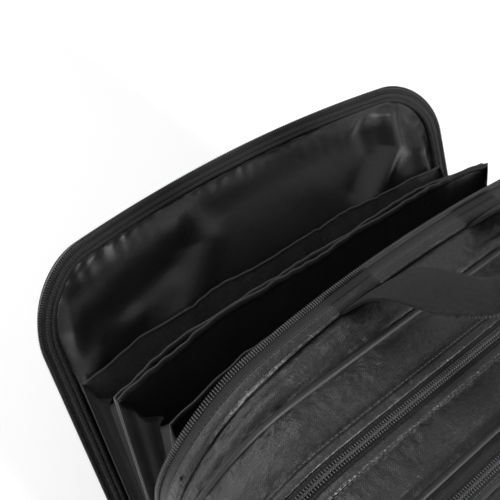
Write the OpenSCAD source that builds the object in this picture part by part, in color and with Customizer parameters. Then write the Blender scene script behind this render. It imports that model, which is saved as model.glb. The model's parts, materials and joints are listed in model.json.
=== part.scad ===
// Soft-sided flight bag with an open file compartment in front, a zipped main compartment
// behind it and a zipped slip compartment at the back.
// Frame: X is the width, Y the depth with the file compartment towards -Y, Z is up.
// Inside the modules y = 0 is the mouth of the file compartment; place() centres the whole bag.

/* [Bag body] */
// Width of the fabric shell
shell_w = 427; // [380:1:470]
// Height of the shell's top above the floor
shell_top = 328.5; // [300:0.5:360]
// Radius of the shell's top corners
corner_r = 62; // [50:1:75]
// Thickness of the padded shell fabric
wall = 2.5; // [2:0.1:3]
// Height of the shell's lower edge above the floor
shell_bottom = 8; // [8:0.5:10]
// Depth from the file mouth to the outer back face
body_depth = 149.2; // [149:0.1:152]

/* [Front panel] */
// Angle of the open front panel from upright
open_tilt = 31.3; // [20:0.1:40]
// Height of the panel from its hinge line to the middle of its top edge
panel_h = 331; // [300:1:334]
// Radius of the panel's top corners
panel_r = 58; // [50:1:70]
// Radius of the long curve of the panel's top edge
panel_bow_r = 1390; // [1390:10:3000]
// Depth of the panel's tray
panel_depth = 15; // [14:0.5:18]
// Hinge line of the panel, in front of the mouth
panel_hinge_y = -3; // [-4:0.1:-3]
// Height of the common hinge line of the panel and the file sheets
hinge_z = 15; // [14:0.5:18]

/* [File sheets] */
// Heights of the front, middle and rear sheets
sheet_h = [237, 260, 268];
// Half widths of the front, middle and rear sheets
sheet_hw = [200, 198, 190];
// Lower edges of the front, middle and rear sheets behind the mouth
sheet_y = [3, 12, 20];
// Angles of the front, middle and rear sheets when the panel is open
sheet_tilt = [30.5, 22.8, 12.7];
// Thickness of a file sheet
sheet_t = 1.4; // [1:0.1:2]

/* [Zippers and piping] */
// Depth of the main zipper's centre line
main_zip_y = 70; // [69:0.5:71]
// Depth of the rear zipper's centre line
rear_zip_y = 123; // [121:0.5:125]
// Radius of the piping
piping_r = 2; // [1.5:0.1:2]
// Depths of the front and rear seams with piping
piping_y = [28.5, 110];
// Height of a closed coil above the shell
coil_h = 2.3; // [2:0.1:2.5]

/* [Handles and rings] */
// Width of the handle webbing
webbing_w = 38; // [30:1:40]
// Thickness of the handle webbing with its lining
webbing_t = 3; // [2:0.1:4]
// Half distance between the middles of a handle's two roots
handle_root_x = 62; // [55:1:70]
// Length of a handle's legs from the seam to the bend
handle_leg = 34; // [30:1:40]
// Length of a handle's loop beyond the bend
handle_loop_l = 100; // [80:1:110]
// Lean of the front handle's loop from upright
handle_lean = 61; // [50:1:65]
// Height of the strap rings above the floor
ring_z = 262; // [200:1:280]

/* [Hidden] */
$fn = 48;
eps = 0.05;
shell_hw = shell_w / 2;
coil_hw = shell_hw + coil_h;
straight_hw = shell_hw - corner_r;
gusset_gap = piping_r + 0.2;
panel_hw = 215;
panel_corner_b = 24;
panel_rim = 213;
sheet_lift = 4;
foot_y = [14, 136];
board_t = 1.4;
handle_y = 8;
handle_z = shell_top + 3;
rear_handle_y = body_depth + 3;
rear_handle_z = shell_top - 3;
bend_bulge = 0.4;
sleeve_depth = 11.5;
sleeve_z = [62, 178];
sleeve_hw = 70;
ring_y = 94.5;
ring_tab_hw = 12;
ring_pin_x = shell_hw + 4.6;
ring_bar_r = 2.5;
slider_lift = 0.3;
main_slider_x = [-88, -104];
rear_slider_x = -138;
front_slider_z = 62;
front_coil_y = 1.8;
panel_tip_y = panel_hinge_y - panel_h * sin(open_tilt) - panel_depth * cos(open_tilt);
y_shift = -(panel_tip_y + body_depth + sleeve_depth) / 2;

// ---- shared shapes ----

// Moves a sub-part from mouth coordinates to the bag's own frame
module place() {
  translate([0, y_shift, 0]) children();
}

// Extrudes an outline drawn in X and Z from y0 to y1
module slab(y0, y1) {
  translate([0, y1, 0]) rotate([90, 0, 0]) linear_extrude(y1 - y0) children();
}

// Outline with round top corners and a flat bottom
module arch(hw, z0, z1, r) {
  translate([-hw, z0]) square([2 * hw, z1 - r - z0]);
  translate([r - hw, z0]) square([2 * (hw - r), z1 - z0]);
  for (s = [-1, 1]) translate([s * (hw - r), z1 - r]) circle(r);
}

// Outline with different round corners at top and bottom
module rounded_panel(hw, z0, z1, r_top, r_bottom) {
  translate([-hw, z0 + r_bottom]) square([2 * hw, z1 - r_top - z0 - r_bottom]);
  translate([r_top - hw, z0 + r_bottom]) square([2 * (hw - r_top), z1 - z0 - r_bottom]);
  translate([r_bottom - hw, z0]) square([2 * (hw - r_bottom), z1 - r_top - z0]);
  for (s = [-1, 1]) {
    translate([s * (hw - r_top), z1 - r_top]) circle(r_top);
    translate([s * (hw - r_bottom), z0 + r_bottom]) circle(r_bottom);
  }
}

// Arched fabric band round the sides and top, open at the bottom
module band(y0, y1, bottom) {
  slab(y0, y1) difference() {
    arch(shell_hw, shell_bottom, shell_top, corner_r);
    arch(shell_hw - wall, shell_bottom + bottom, shell_top - wall, corner_r - wall);
  }
}

// Wall that closes a compartment, inside a band
module inner_wall(y0, y1) {
  inset = wall + 0.2;
  slab(y0, y1) arch(shell_hw - inset, shell_bottom + inset, shell_top - inset, corner_r - inset);
}

// Thin arched trim that lies on the band's outer face
module surface_trim(y0, y1, lift, thick, z0) {
  slab(y0, y1) difference() {
    arch(shell_hw + lift + thick, z0, shell_top + lift + thick, corner_r + lift + thick);
    arch(shell_hw + lift, z0 - 1, shell_top + lift, corner_r + lift);
  }
}

// Piping cord round an arched seam
module piping(y, r) {
  c_hw = shell_hw - 0.2;
  c_top = shell_top - 0.2;
  z0 = shell_bottom + 2;
  for (s = [-1, 1]) {
    translate([s * c_hw, y, z0]) cylinder(r = r, h = c_top - corner_r - z0);
    translate([s * (c_hw - corner_r), y, c_top - corner_r]) rotate([90, 0, 0])
      rotate([0, 0, s > 0 ? 0 : 90]) rotate_extrude(angle = 90) translate([corner_r, 0]) circle(r);
  }
  translate([corner_r - c_hw, y, c_top]) rotate([0, 90, 0])
    cylinder(r = r, h = 2 * (c_hw - corner_r));
}

// ---- base and rear section ----

module base_panel() {
  color([0.10, 0.10, 0.11]) place()
    translate([0, 75, 4]) linear_extrude(3) difference() {
      square([421, 146], center = true);
      for (sx = [-1, 1], sy = [-1, 1]) translate([sx * 210.5, sy * 73]) square(10, center = true);
    }
}

module base_board() {
  color([0.07, 0.07, 0.08]) place() translate([-207, 31.5, 7.2]) cube([414, 113, 2.6]);
}

module base_feet() {
  color([0.05, 0.05, 0.05]) place() for (x = [-176, 176], y = foot_y) {
    translate([x, y, 0]) cylinder(r1 = 8, r2 = 10, h = 3);
    translate([x, y, 3]) cylinder(r = 10, h = 1 - eps);
  }
}

module main_gusset_rear() {
  color([0.17, 0.17, 0.18]) place() band(main_zip_y + 2.6, piping_y[1] - gusset_gap, -1);
}

module divider_wall() {
  color([0.10, 0.10, 0.11]) place() inner_wall(piping_y[1] - 5, piping_y[1] - gusset_gap);
}

module rear_gusset() {
  color([0.17, 0.17, 0.18]) place() difference() {
    band(piping_y[1] + gusset_gap, body_depth - 3.4, -1);
    translate([-150, rear_zip_y - 1.5, shell_top - wall - 1]) cube([300, 3, wall + 2]);
  }
}

module back_panel() {
  color([0.16, 0.16, 0.17]) place() slab(body_depth - 3.2, body_depth)
    arch(shell_hw - 2.4, shell_bottom, shell_top - 2.4, corner_r - 2.4);
}

module trolley_sleeve() {
  color([0.14, 0.14, 0.15]) place() difference() {
    translate([-sleeve_hw, body_depth + eps, sleeve_z[0]])
      cube([2 * sleeve_hw, sleeve_depth - eps, sleeve_z[1] - sleeve_z[0]]);
    translate([4 - sleeve_hw, body_depth - 1, sleeve_z[0] - 1])
      cube([2 * sleeve_hw - 8, sleeve_depth - 1, sleeve_z[1] - sleeve_z[0] + 2]);
  }
}

module piping_rear() {
  color([0.12, 0.12, 0.13]) place() piping(piping_y[1], piping_r);
}

module piping_back() {
  color([0.12, 0.12, 0.13]) place() piping(body_depth - 1.3, piping_r);
}

module main_zip_rear() {
  color([0.06, 0.06, 0.06]) place() {
    surface_trim(main_zip_y + 0.3, main_zip_y + 3, eps, coil_h - eps, 60);
    surface_trim(main_zip_y + 3, main_zip_y + 11, eps, 0.8, 60);
  }
}

module rear_zip() {
  color([0.06, 0.06, 0.06]) place() {
    translate([-150, rear_zip_y - 9, shell_top + eps]) cube([300, 18, 0.7]);
    translate([-150, rear_zip_y - 2.8, shell_top + 0.5]) cube([300, 5.6, coil_h - 0.5]);
  }
}

// ---- strap rings on the sides ----

module ring_tab() {
  difference() {
    union() {
      translate([shell_hw + eps, -ring_tab_hw, 0]) cube([2.6, 2 * ring_tab_hw, 34]);
      translate([ring_pin_x, -ring_tab_hw, 0]) rotate([-90, 0, 0])
        cylinder(r = ring_bar_r + 2, h = 2 * ring_tab_hw);
    }
    translate([ring_pin_x, -15, 0]) rotate([-90, 0, 0]) cylinder(r = ring_bar_r + 0.08, h = 30);
    translate([shell_hw - 5, -15, -10]) cube([5 + eps, 30, 50]);
  }
}

module strap_ring() {
  translate([ring_pin_x, -17, 0]) rotate([-90, 0, 0]) cylinder(r = ring_bar_r, h = 34);
  for (s = [-1, 1]) translate([ring_pin_x, s * 17, 0]) {
    sphere(r = ring_bar_r);
    translate([0, 0, -10]) cylinder(r = ring_bar_r, h = 10);
  }
  translate([ring_pin_x, 0, -10]) rotate([0, 90, 0]) rotate([0, 0, -90])
    rotate_extrude(angle = 180) translate([17, 0]) circle(ring_bar_r);
}

module ring_tab_left() {
  color([0.10, 0.10, 0.10]) place() translate([0, ring_y, ring_z]) mirror([1, 0, 0]) ring_tab();
}

module ring_tab_right() {
  color([0.10, 0.10, 0.10]) place() translate([0, ring_y, ring_z]) ring_tab();
}

module strap_ring_left() {
  color([0.20, 0.20, 0.21]) place() translate([0, ring_y, ring_z]) mirror([1, 0, 0]) strap_ring();
}

module strap_ring_right() {
  color([0.20, 0.20, 0.21]) place() translate([0, ring_y, ring_z]) strap_ring();
}

// ---- front section: file compartment and front half of the main compartment ----

module file_gusset() {
  color([0.19, 0.19, 0.20]) place() band(0, 13, wall);
}

module shoulder_band() {
  color([0.18, 0.18, 0.19]) place() band(13.1, piping_y[0] - gusset_gap, wall);
}

module file_back_wall() {
  color([0.06, 0.06, 0.07]) place() inner_wall(23.6, piping_y[0] - gusset_gap);
}

module main_gusset_front() {
  color([0.18, 0.18, 0.19]) place() band(piping_y[0] + gusset_gap, main_zip_y - 0.3, -1);
}

module piping_front() {
  color([0.12, 0.12, 0.13]) place() piping(piping_y[0], piping_r);
}

module front_zip_body() {
  color([0.06, 0.06, 0.06]) place() {
    surface_trim(0.3, 3.3, eps, coil_h - eps, 30);
    surface_trim(3.3, 11, eps, 0.8, 30);
  }
}

module main_zip_front() {
  color([0.06, 0.06, 0.06]) place() {
    surface_trim(main_zip_y - 3, main_zip_y - 0.3, eps, coil_h - eps, 60);
    surface_trim(main_zip_y - 11, main_zip_y - 3, eps, 0.8, 60);
  }
}

// ---- side bellows, folded fabric between the sheets' edges and the shell ----

// Point at a height along a tilted sheet, as depth and height
function on_sheet(i, h) = [sheet_y[i] - h * sin(sheet_tilt[i]), hinge_z + h * cos(sheet_tilt[i])];

module bellows_web() {
  web_x = 204;
  translate([web_x, 0, 0]) rotate([90, 0, 90]) linear_extrude(1.2) polygon([
    on_sheet(0, 20), on_sheet(0, sheet_h[0] - 3), on_sheet(1, sheet_h[1] - 6),
    on_sheet(2, sheet_h[2] - 3), [-0.6, 286], [-0.6, hinge_z + 4]
  ]);
}

module file_bellows_left() {
  color([0.05, 0.05, 0.06]) place() mirror([1, 0, 0]) bellows_web();
}

module file_bellows_right() {
  color([0.05, 0.05, 0.06]) place() bellows_web();
}

// ---- file sheets ----

module sheet_frame(i) {
  place() translate([0, sheet_y[i], hinge_z]) rotate([sheet_tilt[i], 0, 0]) children();
}

// One layer of a sheet, its front face at y0
module sheet_layer(i, y0) {
  translate([-sheet_hw[i], y0, sheet_lift]) cube([2 * sheet_hw[i], sheet_t, sheet_h[i] - 2 - sheet_lift]);
}

// Folded tape over a sheet's top edge
module sheet_binding(i, y0, thick) {
  top = sheet_h[i];
  difference() {
    translate([-sheet_hw[i], y0 - 0.7, top - 9]) cube([2 * sheet_hw[i], thick + 1.4, 9]);
    translate([-sheet_hw[i] - 1, y0 - 0.1, top - 10]) cube([2 * sheet_hw[i] + 2, thick + 0.2, 8.2]);
  }
}

module file_sheet_rear() {
  color([0.09, 0.09, 0.10]) sheet_frame(2) sheet_layer(2, -sheet_t / 2);
}

module file_sheet_rear_binding() {
  color([0.14, 0.14, 0.15]) sheet_frame(2) sheet_binding(2, -sheet_t / 2, sheet_t);
}

module file_sheet_middle() {
  color([0.08, 0.08, 0.09]) sheet_frame(1) sheet_layer(1, -2.6);
}

module file_sheet_middle_pocket() {
  color([0.10, 0.10, 0.11]) sheet_frame(1) sheet_layer(1, 0.8);
}

module file_sheet_middle_binding() {
  color([0.14, 0.14, 0.15]) sheet_frame(1) {
    sheet_binding(1, -2.6, sheet_t);
    sheet_binding(1, 0.8, sheet_t);
  }
}

module file_sheet_front() {
  color([0.09, 0.09, 0.10]) sheet_frame(0) sheet_layer(0, -sheet_t / 2);
}

module file_sheet_front_binding() {
  color([0.14, 0.14, 0.15]) sheet_frame(0) sheet_binding(0, -sheet_t / 2, sheet_t);
}

// ---- front panel, a shallow tray with a board and a lining ----

module panel_frame() {
  place() translate([0, panel_hinge_y, hinge_z]) rotate([open_tilt, 0, 0]) children();
}

// The panel's outline drawn in by inset, its top edge bowed up in the middle
module panel_outline(inset) {
  x = panel_hw - panel_r;
  shoulder = panel_h - panel_bow_r + sqrt(panel_bow_r * panel_bow_r - x * x);
  rounded_panel(panel_hw - inset, inset, shoulder - inset, panel_r - inset, panel_corner_b - inset);
  intersection() {
    translate([-x, shoulder / 2]) square([2 * x, panel_h]);
    translate([0, panel_h - panel_bow_r]) circle(panel_bow_r - inset, $fn = 360);
  }
}

// Ring between two insets of the panel's outline
module panel_ring(inset, width, y0, y1) {
  slab(y0, y1) difference() {
    panel_outline(inset);
    panel_outline(inset + width);
  }
}

module panel_shell() {
  rim = panel_hw - panel_rim;
  color([0.17, 0.17, 0.18]) panel_frame() {
    slab(-panel_depth, wall - panel_depth) panel_outline(rim);
    panel_ring(rim, wall, wall - panel_depth, -3.2);
  }
}

module panel_board() {
  y0 = wall + 0.1 - panel_depth;
  color([0.10, 0.10, 0.10]) panel_frame() slab(y0, y0 + board_t)
    panel_outline(panel_hw - panel_rim + wall + 0.2);
}

module panel_lining() {
  y0 = wall + 0.2 + board_t - panel_depth;
  color([0.05, 0.05, 0.06]) panel_frame() slab(y0, y0 + 1.2)
    panel_outline(panel_hw - panel_rim + wall + 0.2);
}

module panel_binding() {
  color([0.18, 0.18, 0.19]) panel_frame() panel_ring(4.7, 10, wall + 4.5 - panel_depth, -6.2);
}

module panel_zip() {
  color([0.07, 0.07, 0.07]) panel_frame() {
    panel_ring(3, 9, -3.1, -2.3);
    panel_ring(0, 3, -3.1, -0.8);
  }
}

module panel_piping() {
  color([0.12, 0.12, 0.13]) panel_frame() panel_ring(0, 1.9, -panel_depth, 4 - panel_depth);
}

// ---- carry handles, flat webbing loops ----

// Flat loop from z = start up to z = top
module webbing_loop(start, top) {
  inner = handle_root_x - webbing_w / 2;
  outer = handle_root_x + webbing_w / 2;
  slab(-webbing_t / 2, webbing_t / 2) difference() {
    arch(outer, start, top, 40);
    arch(inner, start - 1, top - webbing_w, 16);
  }
}

module front_handle() {
  color([0.21, 0.21, 0.22]) place() translate([0, handle_y, handle_z]) {
    for (s = [-1, 1]) {
      translate([s * handle_root_x - webbing_w / 2, -webbing_t / 2, 1])
        cube([webbing_w, webbing_t, handle_leg - 1]);
      translate([s * handle_root_x - webbing_w / 2 - bend_bulge, 0, handle_leg]) rotate([0, 90, 0])
        cylinder(r = webbing_t / 2 + bend_bulge, h = webbing_w + 2 * bend_bulge);
    }
    translate([0, 0, handle_leg]) rotate([-handle_lean, 0, 0]) webbing_loop(0, handle_loop_l);
  }
}

module rear_handle() {
  color([0.21, 0.21, 0.22]) place() translate([0, rear_handle_y, rear_handle_z])
    rotate([180, 0, 0]) webbing_loop(1, handle_leg + handle_loop_l);
}

// ---- sliders and pulls; local x points to the nose, z away from the shell ----

bridge_l = 4.4;
bridge_w = 1.1;
bridge_gap = 1.9;
pull_z = 2.9;
pull_pin_r = 0.6;

module slider_body() {
  linear_extrude(1.7) {
    translate([-6, -3.4]) square([9, 6.8]);
    translate([3, 0]) circle(4.6);
  }
  for (s = [-1, 1]) translate([s * (bridge_l - 0.6) - 0.6, -bridge_w, 1.7])
    cube([1.2, 2 * bridge_w, bridge_gap + 0.6]);
  translate([-bridge_l, -bridge_w, 1.7 + bridge_gap + 0.6])
    cube([2 * bridge_l, 2 * bridge_w, 1]);
}

// Pull that lies behind its pin, along -x
module slider_pull() {
  translate([0, -3, pull_z]) rotate([-90, 0, 0]) cylinder(r = pull_pin_r, h = 6);
  translate([0, 0, pull_z - pull_pin_r]) linear_extrude(2 * pull_pin_r) {
    for (s = [-1, 1]) translate([-6, s * 2.3 - 0.7]) square([6, 1.4]);
    translate([-25, -3]) square([19, 6]);
    translate([-25, 0]) circle(3);
  }
}

// Slider or pull lying on the top run, its nose towards +x when way is 1
module on_top(x, y, way) {
  place() translate([x, y, shell_top + coil_h + slider_lift]) mirror([way > 0 ? 0 : 1, 0, 0])
    children();
}

// Slider or pull on a side leg, its nose up
module on_side(side) {
  place() mirror([side > 0 ? 1 : 0, 0, 0])
    translate([-(coil_hw + slider_lift), front_coil_y, front_slider_z]) rotate([0, -90, 0])
      children();
}

module front_slider_left() {
  color([0.13, 0.13, 0.13]) on_side(-1) slider_body();
}

module front_slider_right() {
  color([0.13, 0.13, 0.13]) on_side(1) slider_body();
}

module front_pull_left() {
  color([0.15, 0.15, 0.15]) on_side(-1) slider_pull();
}

module front_pull_right() {
  color([0.15, 0.15, 0.15]) on_side(1) slider_pull();
}

module main_slider_a() {
  color([0.13, 0.13, 0.13]) on_top(main_slider_x[0], main_zip_y, -1) slider_body();
}

module main_slider_b() {
  color([0.13, 0.13, 0.13]) on_top(main_slider_x[1], main_zip_y, 1) slider_body();
}

module main_pull_a() {
  color([0.15, 0.15, 0.15]) on_top(main_slider_x[0], main_zip_y, -1) slider_pull();
}

module main_pull_b() {
  color([0.15, 0.15, 0.15]) on_top(main_slider_x[1], main_zip_y, 1) slider_pull();
}

module rear_slider() {
  color([0.13, 0.13, 0.13]) on_top(rear_slider_x, rear_zip_y, -1) slider_body();
}

module rear_pull() {
  color([0.15, 0.15, 0.15]) on_top(rear_slider_x, rear_zip_y, -1) slider_pull();
}

base_panel();
base_board();
base_feet();
main_gusset_rear();
divider_wall();
rear_gusset();
back_panel();
trolley_sleeve();
piping_rear();
piping_back();
main_zip_rear();
rear_zip();
ring_tab_left();
ring_tab_right();
strap_ring_left();
strap_ring_right();
file_gusset();
shoulder_band();
file_back_wall();
main_gusset_front();
piping_front();
front_zip_body();
main_zip_front();
file_bellows_left();
file_bellows_right();
file_sheet_rear();
file_sheet_rear_binding();
file_sheet_middle();
file_sheet_middle_pocket();
file_sheet_middle_binding();
file_sheet_front();
file_sheet_front_binding();
panel_shell();
panel_board();
panel_lining();
panel_binding();
panel_zip();
panel_piping();
front_handle();
rear_handle();
front_slider_left();
front_slider_right();
front_pull_left();
front_pull_right();
main_slider_a();
main_slider_b();
main_pull_a();
main_pull_b();
rear_slider();
rear_pull();
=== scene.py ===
import json
import math

import bmesh
import bpy
import numpy as np
from mathutils import Euler, Vector
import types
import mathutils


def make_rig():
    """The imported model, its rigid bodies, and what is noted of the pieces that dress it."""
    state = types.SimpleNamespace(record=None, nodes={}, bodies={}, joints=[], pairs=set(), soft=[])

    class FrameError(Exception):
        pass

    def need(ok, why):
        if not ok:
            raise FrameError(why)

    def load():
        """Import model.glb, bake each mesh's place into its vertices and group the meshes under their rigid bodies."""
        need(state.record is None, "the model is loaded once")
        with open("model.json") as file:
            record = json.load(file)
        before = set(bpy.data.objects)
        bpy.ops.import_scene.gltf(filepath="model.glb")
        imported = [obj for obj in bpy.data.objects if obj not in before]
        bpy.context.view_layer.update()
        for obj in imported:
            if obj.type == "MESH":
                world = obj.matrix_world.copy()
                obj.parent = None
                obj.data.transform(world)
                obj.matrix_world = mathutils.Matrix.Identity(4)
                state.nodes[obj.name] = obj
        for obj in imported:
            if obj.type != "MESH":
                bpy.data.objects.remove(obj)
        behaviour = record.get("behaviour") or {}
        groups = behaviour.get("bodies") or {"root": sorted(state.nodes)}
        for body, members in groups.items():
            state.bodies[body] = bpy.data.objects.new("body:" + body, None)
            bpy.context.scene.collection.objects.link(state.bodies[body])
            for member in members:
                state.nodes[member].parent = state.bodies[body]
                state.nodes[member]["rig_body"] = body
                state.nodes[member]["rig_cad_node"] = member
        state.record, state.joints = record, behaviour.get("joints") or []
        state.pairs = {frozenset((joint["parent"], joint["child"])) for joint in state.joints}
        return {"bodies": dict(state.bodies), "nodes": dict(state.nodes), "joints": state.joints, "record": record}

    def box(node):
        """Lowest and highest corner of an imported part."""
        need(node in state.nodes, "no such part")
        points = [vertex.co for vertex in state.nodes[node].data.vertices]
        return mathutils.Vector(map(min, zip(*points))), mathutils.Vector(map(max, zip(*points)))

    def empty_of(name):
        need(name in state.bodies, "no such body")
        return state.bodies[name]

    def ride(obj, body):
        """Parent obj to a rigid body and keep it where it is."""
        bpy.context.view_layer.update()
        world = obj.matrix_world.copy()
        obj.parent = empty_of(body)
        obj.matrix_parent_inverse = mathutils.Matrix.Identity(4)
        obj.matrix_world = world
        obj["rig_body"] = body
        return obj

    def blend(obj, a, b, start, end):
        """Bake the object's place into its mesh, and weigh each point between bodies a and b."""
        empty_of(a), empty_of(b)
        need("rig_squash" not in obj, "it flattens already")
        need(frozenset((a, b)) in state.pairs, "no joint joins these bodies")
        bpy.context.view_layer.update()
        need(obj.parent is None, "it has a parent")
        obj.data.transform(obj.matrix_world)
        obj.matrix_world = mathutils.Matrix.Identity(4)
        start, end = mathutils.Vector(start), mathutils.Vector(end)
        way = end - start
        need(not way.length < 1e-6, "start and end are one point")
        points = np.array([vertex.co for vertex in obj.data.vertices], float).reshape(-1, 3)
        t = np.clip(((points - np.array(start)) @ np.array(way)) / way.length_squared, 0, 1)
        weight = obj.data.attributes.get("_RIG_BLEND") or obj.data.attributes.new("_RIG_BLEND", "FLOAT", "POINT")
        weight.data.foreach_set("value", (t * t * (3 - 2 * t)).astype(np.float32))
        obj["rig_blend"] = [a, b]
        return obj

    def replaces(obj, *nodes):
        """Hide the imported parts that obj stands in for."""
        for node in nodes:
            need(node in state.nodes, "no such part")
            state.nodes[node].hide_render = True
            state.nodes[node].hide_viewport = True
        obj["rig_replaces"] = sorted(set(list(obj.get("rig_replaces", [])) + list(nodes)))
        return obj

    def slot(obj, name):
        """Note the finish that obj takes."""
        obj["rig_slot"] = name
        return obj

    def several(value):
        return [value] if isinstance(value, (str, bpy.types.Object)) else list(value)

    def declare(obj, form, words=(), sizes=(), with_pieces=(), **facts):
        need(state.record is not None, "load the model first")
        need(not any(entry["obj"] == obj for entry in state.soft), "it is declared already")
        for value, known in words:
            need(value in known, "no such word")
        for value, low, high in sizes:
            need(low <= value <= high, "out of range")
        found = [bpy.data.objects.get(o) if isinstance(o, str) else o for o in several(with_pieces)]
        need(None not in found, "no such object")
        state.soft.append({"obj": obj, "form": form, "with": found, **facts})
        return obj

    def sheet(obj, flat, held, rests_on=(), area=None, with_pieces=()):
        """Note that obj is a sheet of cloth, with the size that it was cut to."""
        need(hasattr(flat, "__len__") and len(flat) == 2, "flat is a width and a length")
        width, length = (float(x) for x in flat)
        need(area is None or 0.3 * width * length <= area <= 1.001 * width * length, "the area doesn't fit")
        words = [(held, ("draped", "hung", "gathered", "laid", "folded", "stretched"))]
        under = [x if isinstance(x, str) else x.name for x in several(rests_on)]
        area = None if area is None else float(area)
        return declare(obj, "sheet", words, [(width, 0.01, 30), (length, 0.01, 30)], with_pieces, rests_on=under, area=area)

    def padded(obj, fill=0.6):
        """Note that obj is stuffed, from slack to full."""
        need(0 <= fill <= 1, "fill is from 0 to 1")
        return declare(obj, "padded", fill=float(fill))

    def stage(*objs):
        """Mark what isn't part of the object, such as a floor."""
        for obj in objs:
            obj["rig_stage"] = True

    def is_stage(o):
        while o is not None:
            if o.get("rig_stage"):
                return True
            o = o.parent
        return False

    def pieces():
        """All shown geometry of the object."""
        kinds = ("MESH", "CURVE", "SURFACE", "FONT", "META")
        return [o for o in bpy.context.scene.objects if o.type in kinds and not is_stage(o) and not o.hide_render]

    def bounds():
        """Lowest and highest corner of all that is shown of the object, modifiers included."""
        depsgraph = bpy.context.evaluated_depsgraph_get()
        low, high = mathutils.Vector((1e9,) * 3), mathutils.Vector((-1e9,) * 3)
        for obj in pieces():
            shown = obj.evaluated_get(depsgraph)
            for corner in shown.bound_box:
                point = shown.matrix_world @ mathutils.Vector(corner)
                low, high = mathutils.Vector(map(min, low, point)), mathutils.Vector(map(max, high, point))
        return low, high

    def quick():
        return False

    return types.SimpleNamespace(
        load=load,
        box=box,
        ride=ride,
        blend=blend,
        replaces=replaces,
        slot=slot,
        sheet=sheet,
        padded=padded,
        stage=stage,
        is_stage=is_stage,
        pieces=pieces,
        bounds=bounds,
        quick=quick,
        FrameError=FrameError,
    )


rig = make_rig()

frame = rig.load()
START_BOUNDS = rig.bounds()
RNG = np.random.default_rng(7)

# ---- sizes, in millimetres, in mouth coordinates: y = 0 is the mouth of the file compartment ----
MM = 0.001
MOUTH_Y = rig.box("file_gusset")[0].y
HALF_W = 215.0
TOP = 330.0
CORNER = 68.0
FOOT_CORNER = 13.0
SHELL_BOTTOM = 6.0
SHOULDER_DROP = 6.0
MOUTH_BOW = 17.0
SEAM_1 = 17.5
PIPING_FRONT = 28.7
ZIP_MAIN = 70.0
PIPING_REAR = 110.2
ZIP_REAR = 123.0
BACK = 149.2
TAPE = 10.5
COIL_PITCH = 1.82

TILT = 31.3
PANEL_HW = 215.0
PANEL_H = 315.0
PANEL_R = 57.8
PANEL_FOOT_R = 24.0
PANEL_BOW_H = 12.5
PANEL_D = 14.0
HINGE_Y = -3.0
HINGE_Z = 15.0


# ---- frames ----

def to_frame(x, y, z):
    """Mouth coordinates in millimetres to the row frame in metres."""
    x, y, z = np.broadcast_arrays(x, y, z)
    return np.stack([x * MM, y * MM + MOUTH_Y, z * MM], -1).astype(float)


def leaning(angle, y0=HINGE_Y, z0=HINGE_Z):
    """Placer for something that leans forward about a line: x, depth, height."""
    c, s = math.cos(math.radians(angle)), math.sin(math.radians(angle))

    def place(x, d, h):
        return to_frame(x, y0 + d * c - h * s, z0 + d * s + h * c)
    return place


on_panel = leaning(TILT)


# ---- lines and outlines ----

def unit(v):
    """Vectors at length one."""
    return v / np.linalg.norm(v, axis=-1)[..., None]


def lengths(points):
    """Length along a line up to each of its points."""
    return np.concatenate([[0.0], np.cumsum(np.linalg.norm(np.diff(points, axis=0), axis=-1))])


class Outline:
    """An outline by arc length from the middle of its top. Negative lengths run down the left side."""
    def __init__(self, points):
        self.s = lengths(points)
        self.points = points
        tangent = unit(np.gradient(points, self.s, axis=0))
        self.normal = np.stack([-tangent[:, 1], tangent[:, 0]], 1)
        self.length = self.s[-1]

    def at(self, s):
        s = np.asarray(s, float)
        t, sign = np.abs(s), np.where(s < 0, -1.0, 1.0)
        x, z, nx, nz = (np.interp(t, self.s, c) for c in (*self.points.T, *self.normal.T))
        size = np.hypot(nx, nz)
        return sign * x, z, sign * nx / size, nz / size

    def where_height(self, z):
        """Arc length at which the right leg passes a height."""
        below = np.nonzero(self.points[:, 1] < z)[0][0]
        return self.s[below]


def arc(cx, cz, r, a0, a1, n=40):
    a = np.radians(np.linspace(a0, a1, n))
    return np.stack([cx + r * np.cos(a), cz + r * np.sin(a)], 1)


def line(x0, z0, x1, z1, n=60):
    return np.stack([np.linspace(x0, x1, n), np.linspace(z0, z1, n)], 1)


def join(*parts):
    points = np.concatenate(parts)
    keep = np.concatenate([[True], np.hypot(*np.diff(points, axis=0).T) > 1e-3])
    return points[keep]


def body_outline():
    flat = HALF_W - CORNER
    p = join(line(0, TOP, flat, TOP), arc(flat, TOP - CORNER, CORNER, 90, 0),
             line(HALF_W, TOP - CORNER, HALF_W, SHELL_BOTTOM + FOOT_CORNER),
             arc(HALF_W - FOOT_CORNER, SHELL_BOTTOM + FOOT_CORNER, FOOT_CORNER, 0, -90, 12),
             line(HALF_W - FOOT_CORNER, SHELL_BOTTOM, 176, SHELL_BOTTOM, 12))
    u, t = p[:, 0] / HALF_W, p[:, 1] / TOP
    p[:, 1] -= SHOULDER_DROP * u ** 4 * t ** 2
    return Outline(p)


def panel_outline():
    flat = PANEL_HW - PANEL_R
    p = join(line(0, PANEL_H, flat, PANEL_H), arc(flat, PANEL_H - PANEL_R, PANEL_R, 90, 0),
             line(PANEL_HW, PANEL_H - PANEL_R, PANEL_HW, PANEL_FOOT_R),
             arc(PANEL_HW - PANEL_FOOT_R, PANEL_FOOT_R, PANEL_FOOT_R, 0, -90, 16),
             line(PANEL_HW - PANEL_FOOT_R, 0, 0, 0))
    u, t = p[:, 0] / PANEL_HW, np.clip(p[:, 1] / PANEL_H, 0, 1)
    p[:, 1] += PANEL_BOW_H * (1 - u ** 2) * t ** 6
    return Outline(p)


BODY = body_outline()
PANEL = panel_outline()
BODY_LEG = BODY.where_height(12)


def mouth_bow(s):
    """How far the mouth's edge bows forward at an arc length of the body."""
    x, z, _, _ = BODY.at(s)
    return MOUTH_BOW * (1 - np.clip(x / HALF_W, -1, 1) ** 2) * np.clip(z / TOP, 0, 1) ** 3


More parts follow.
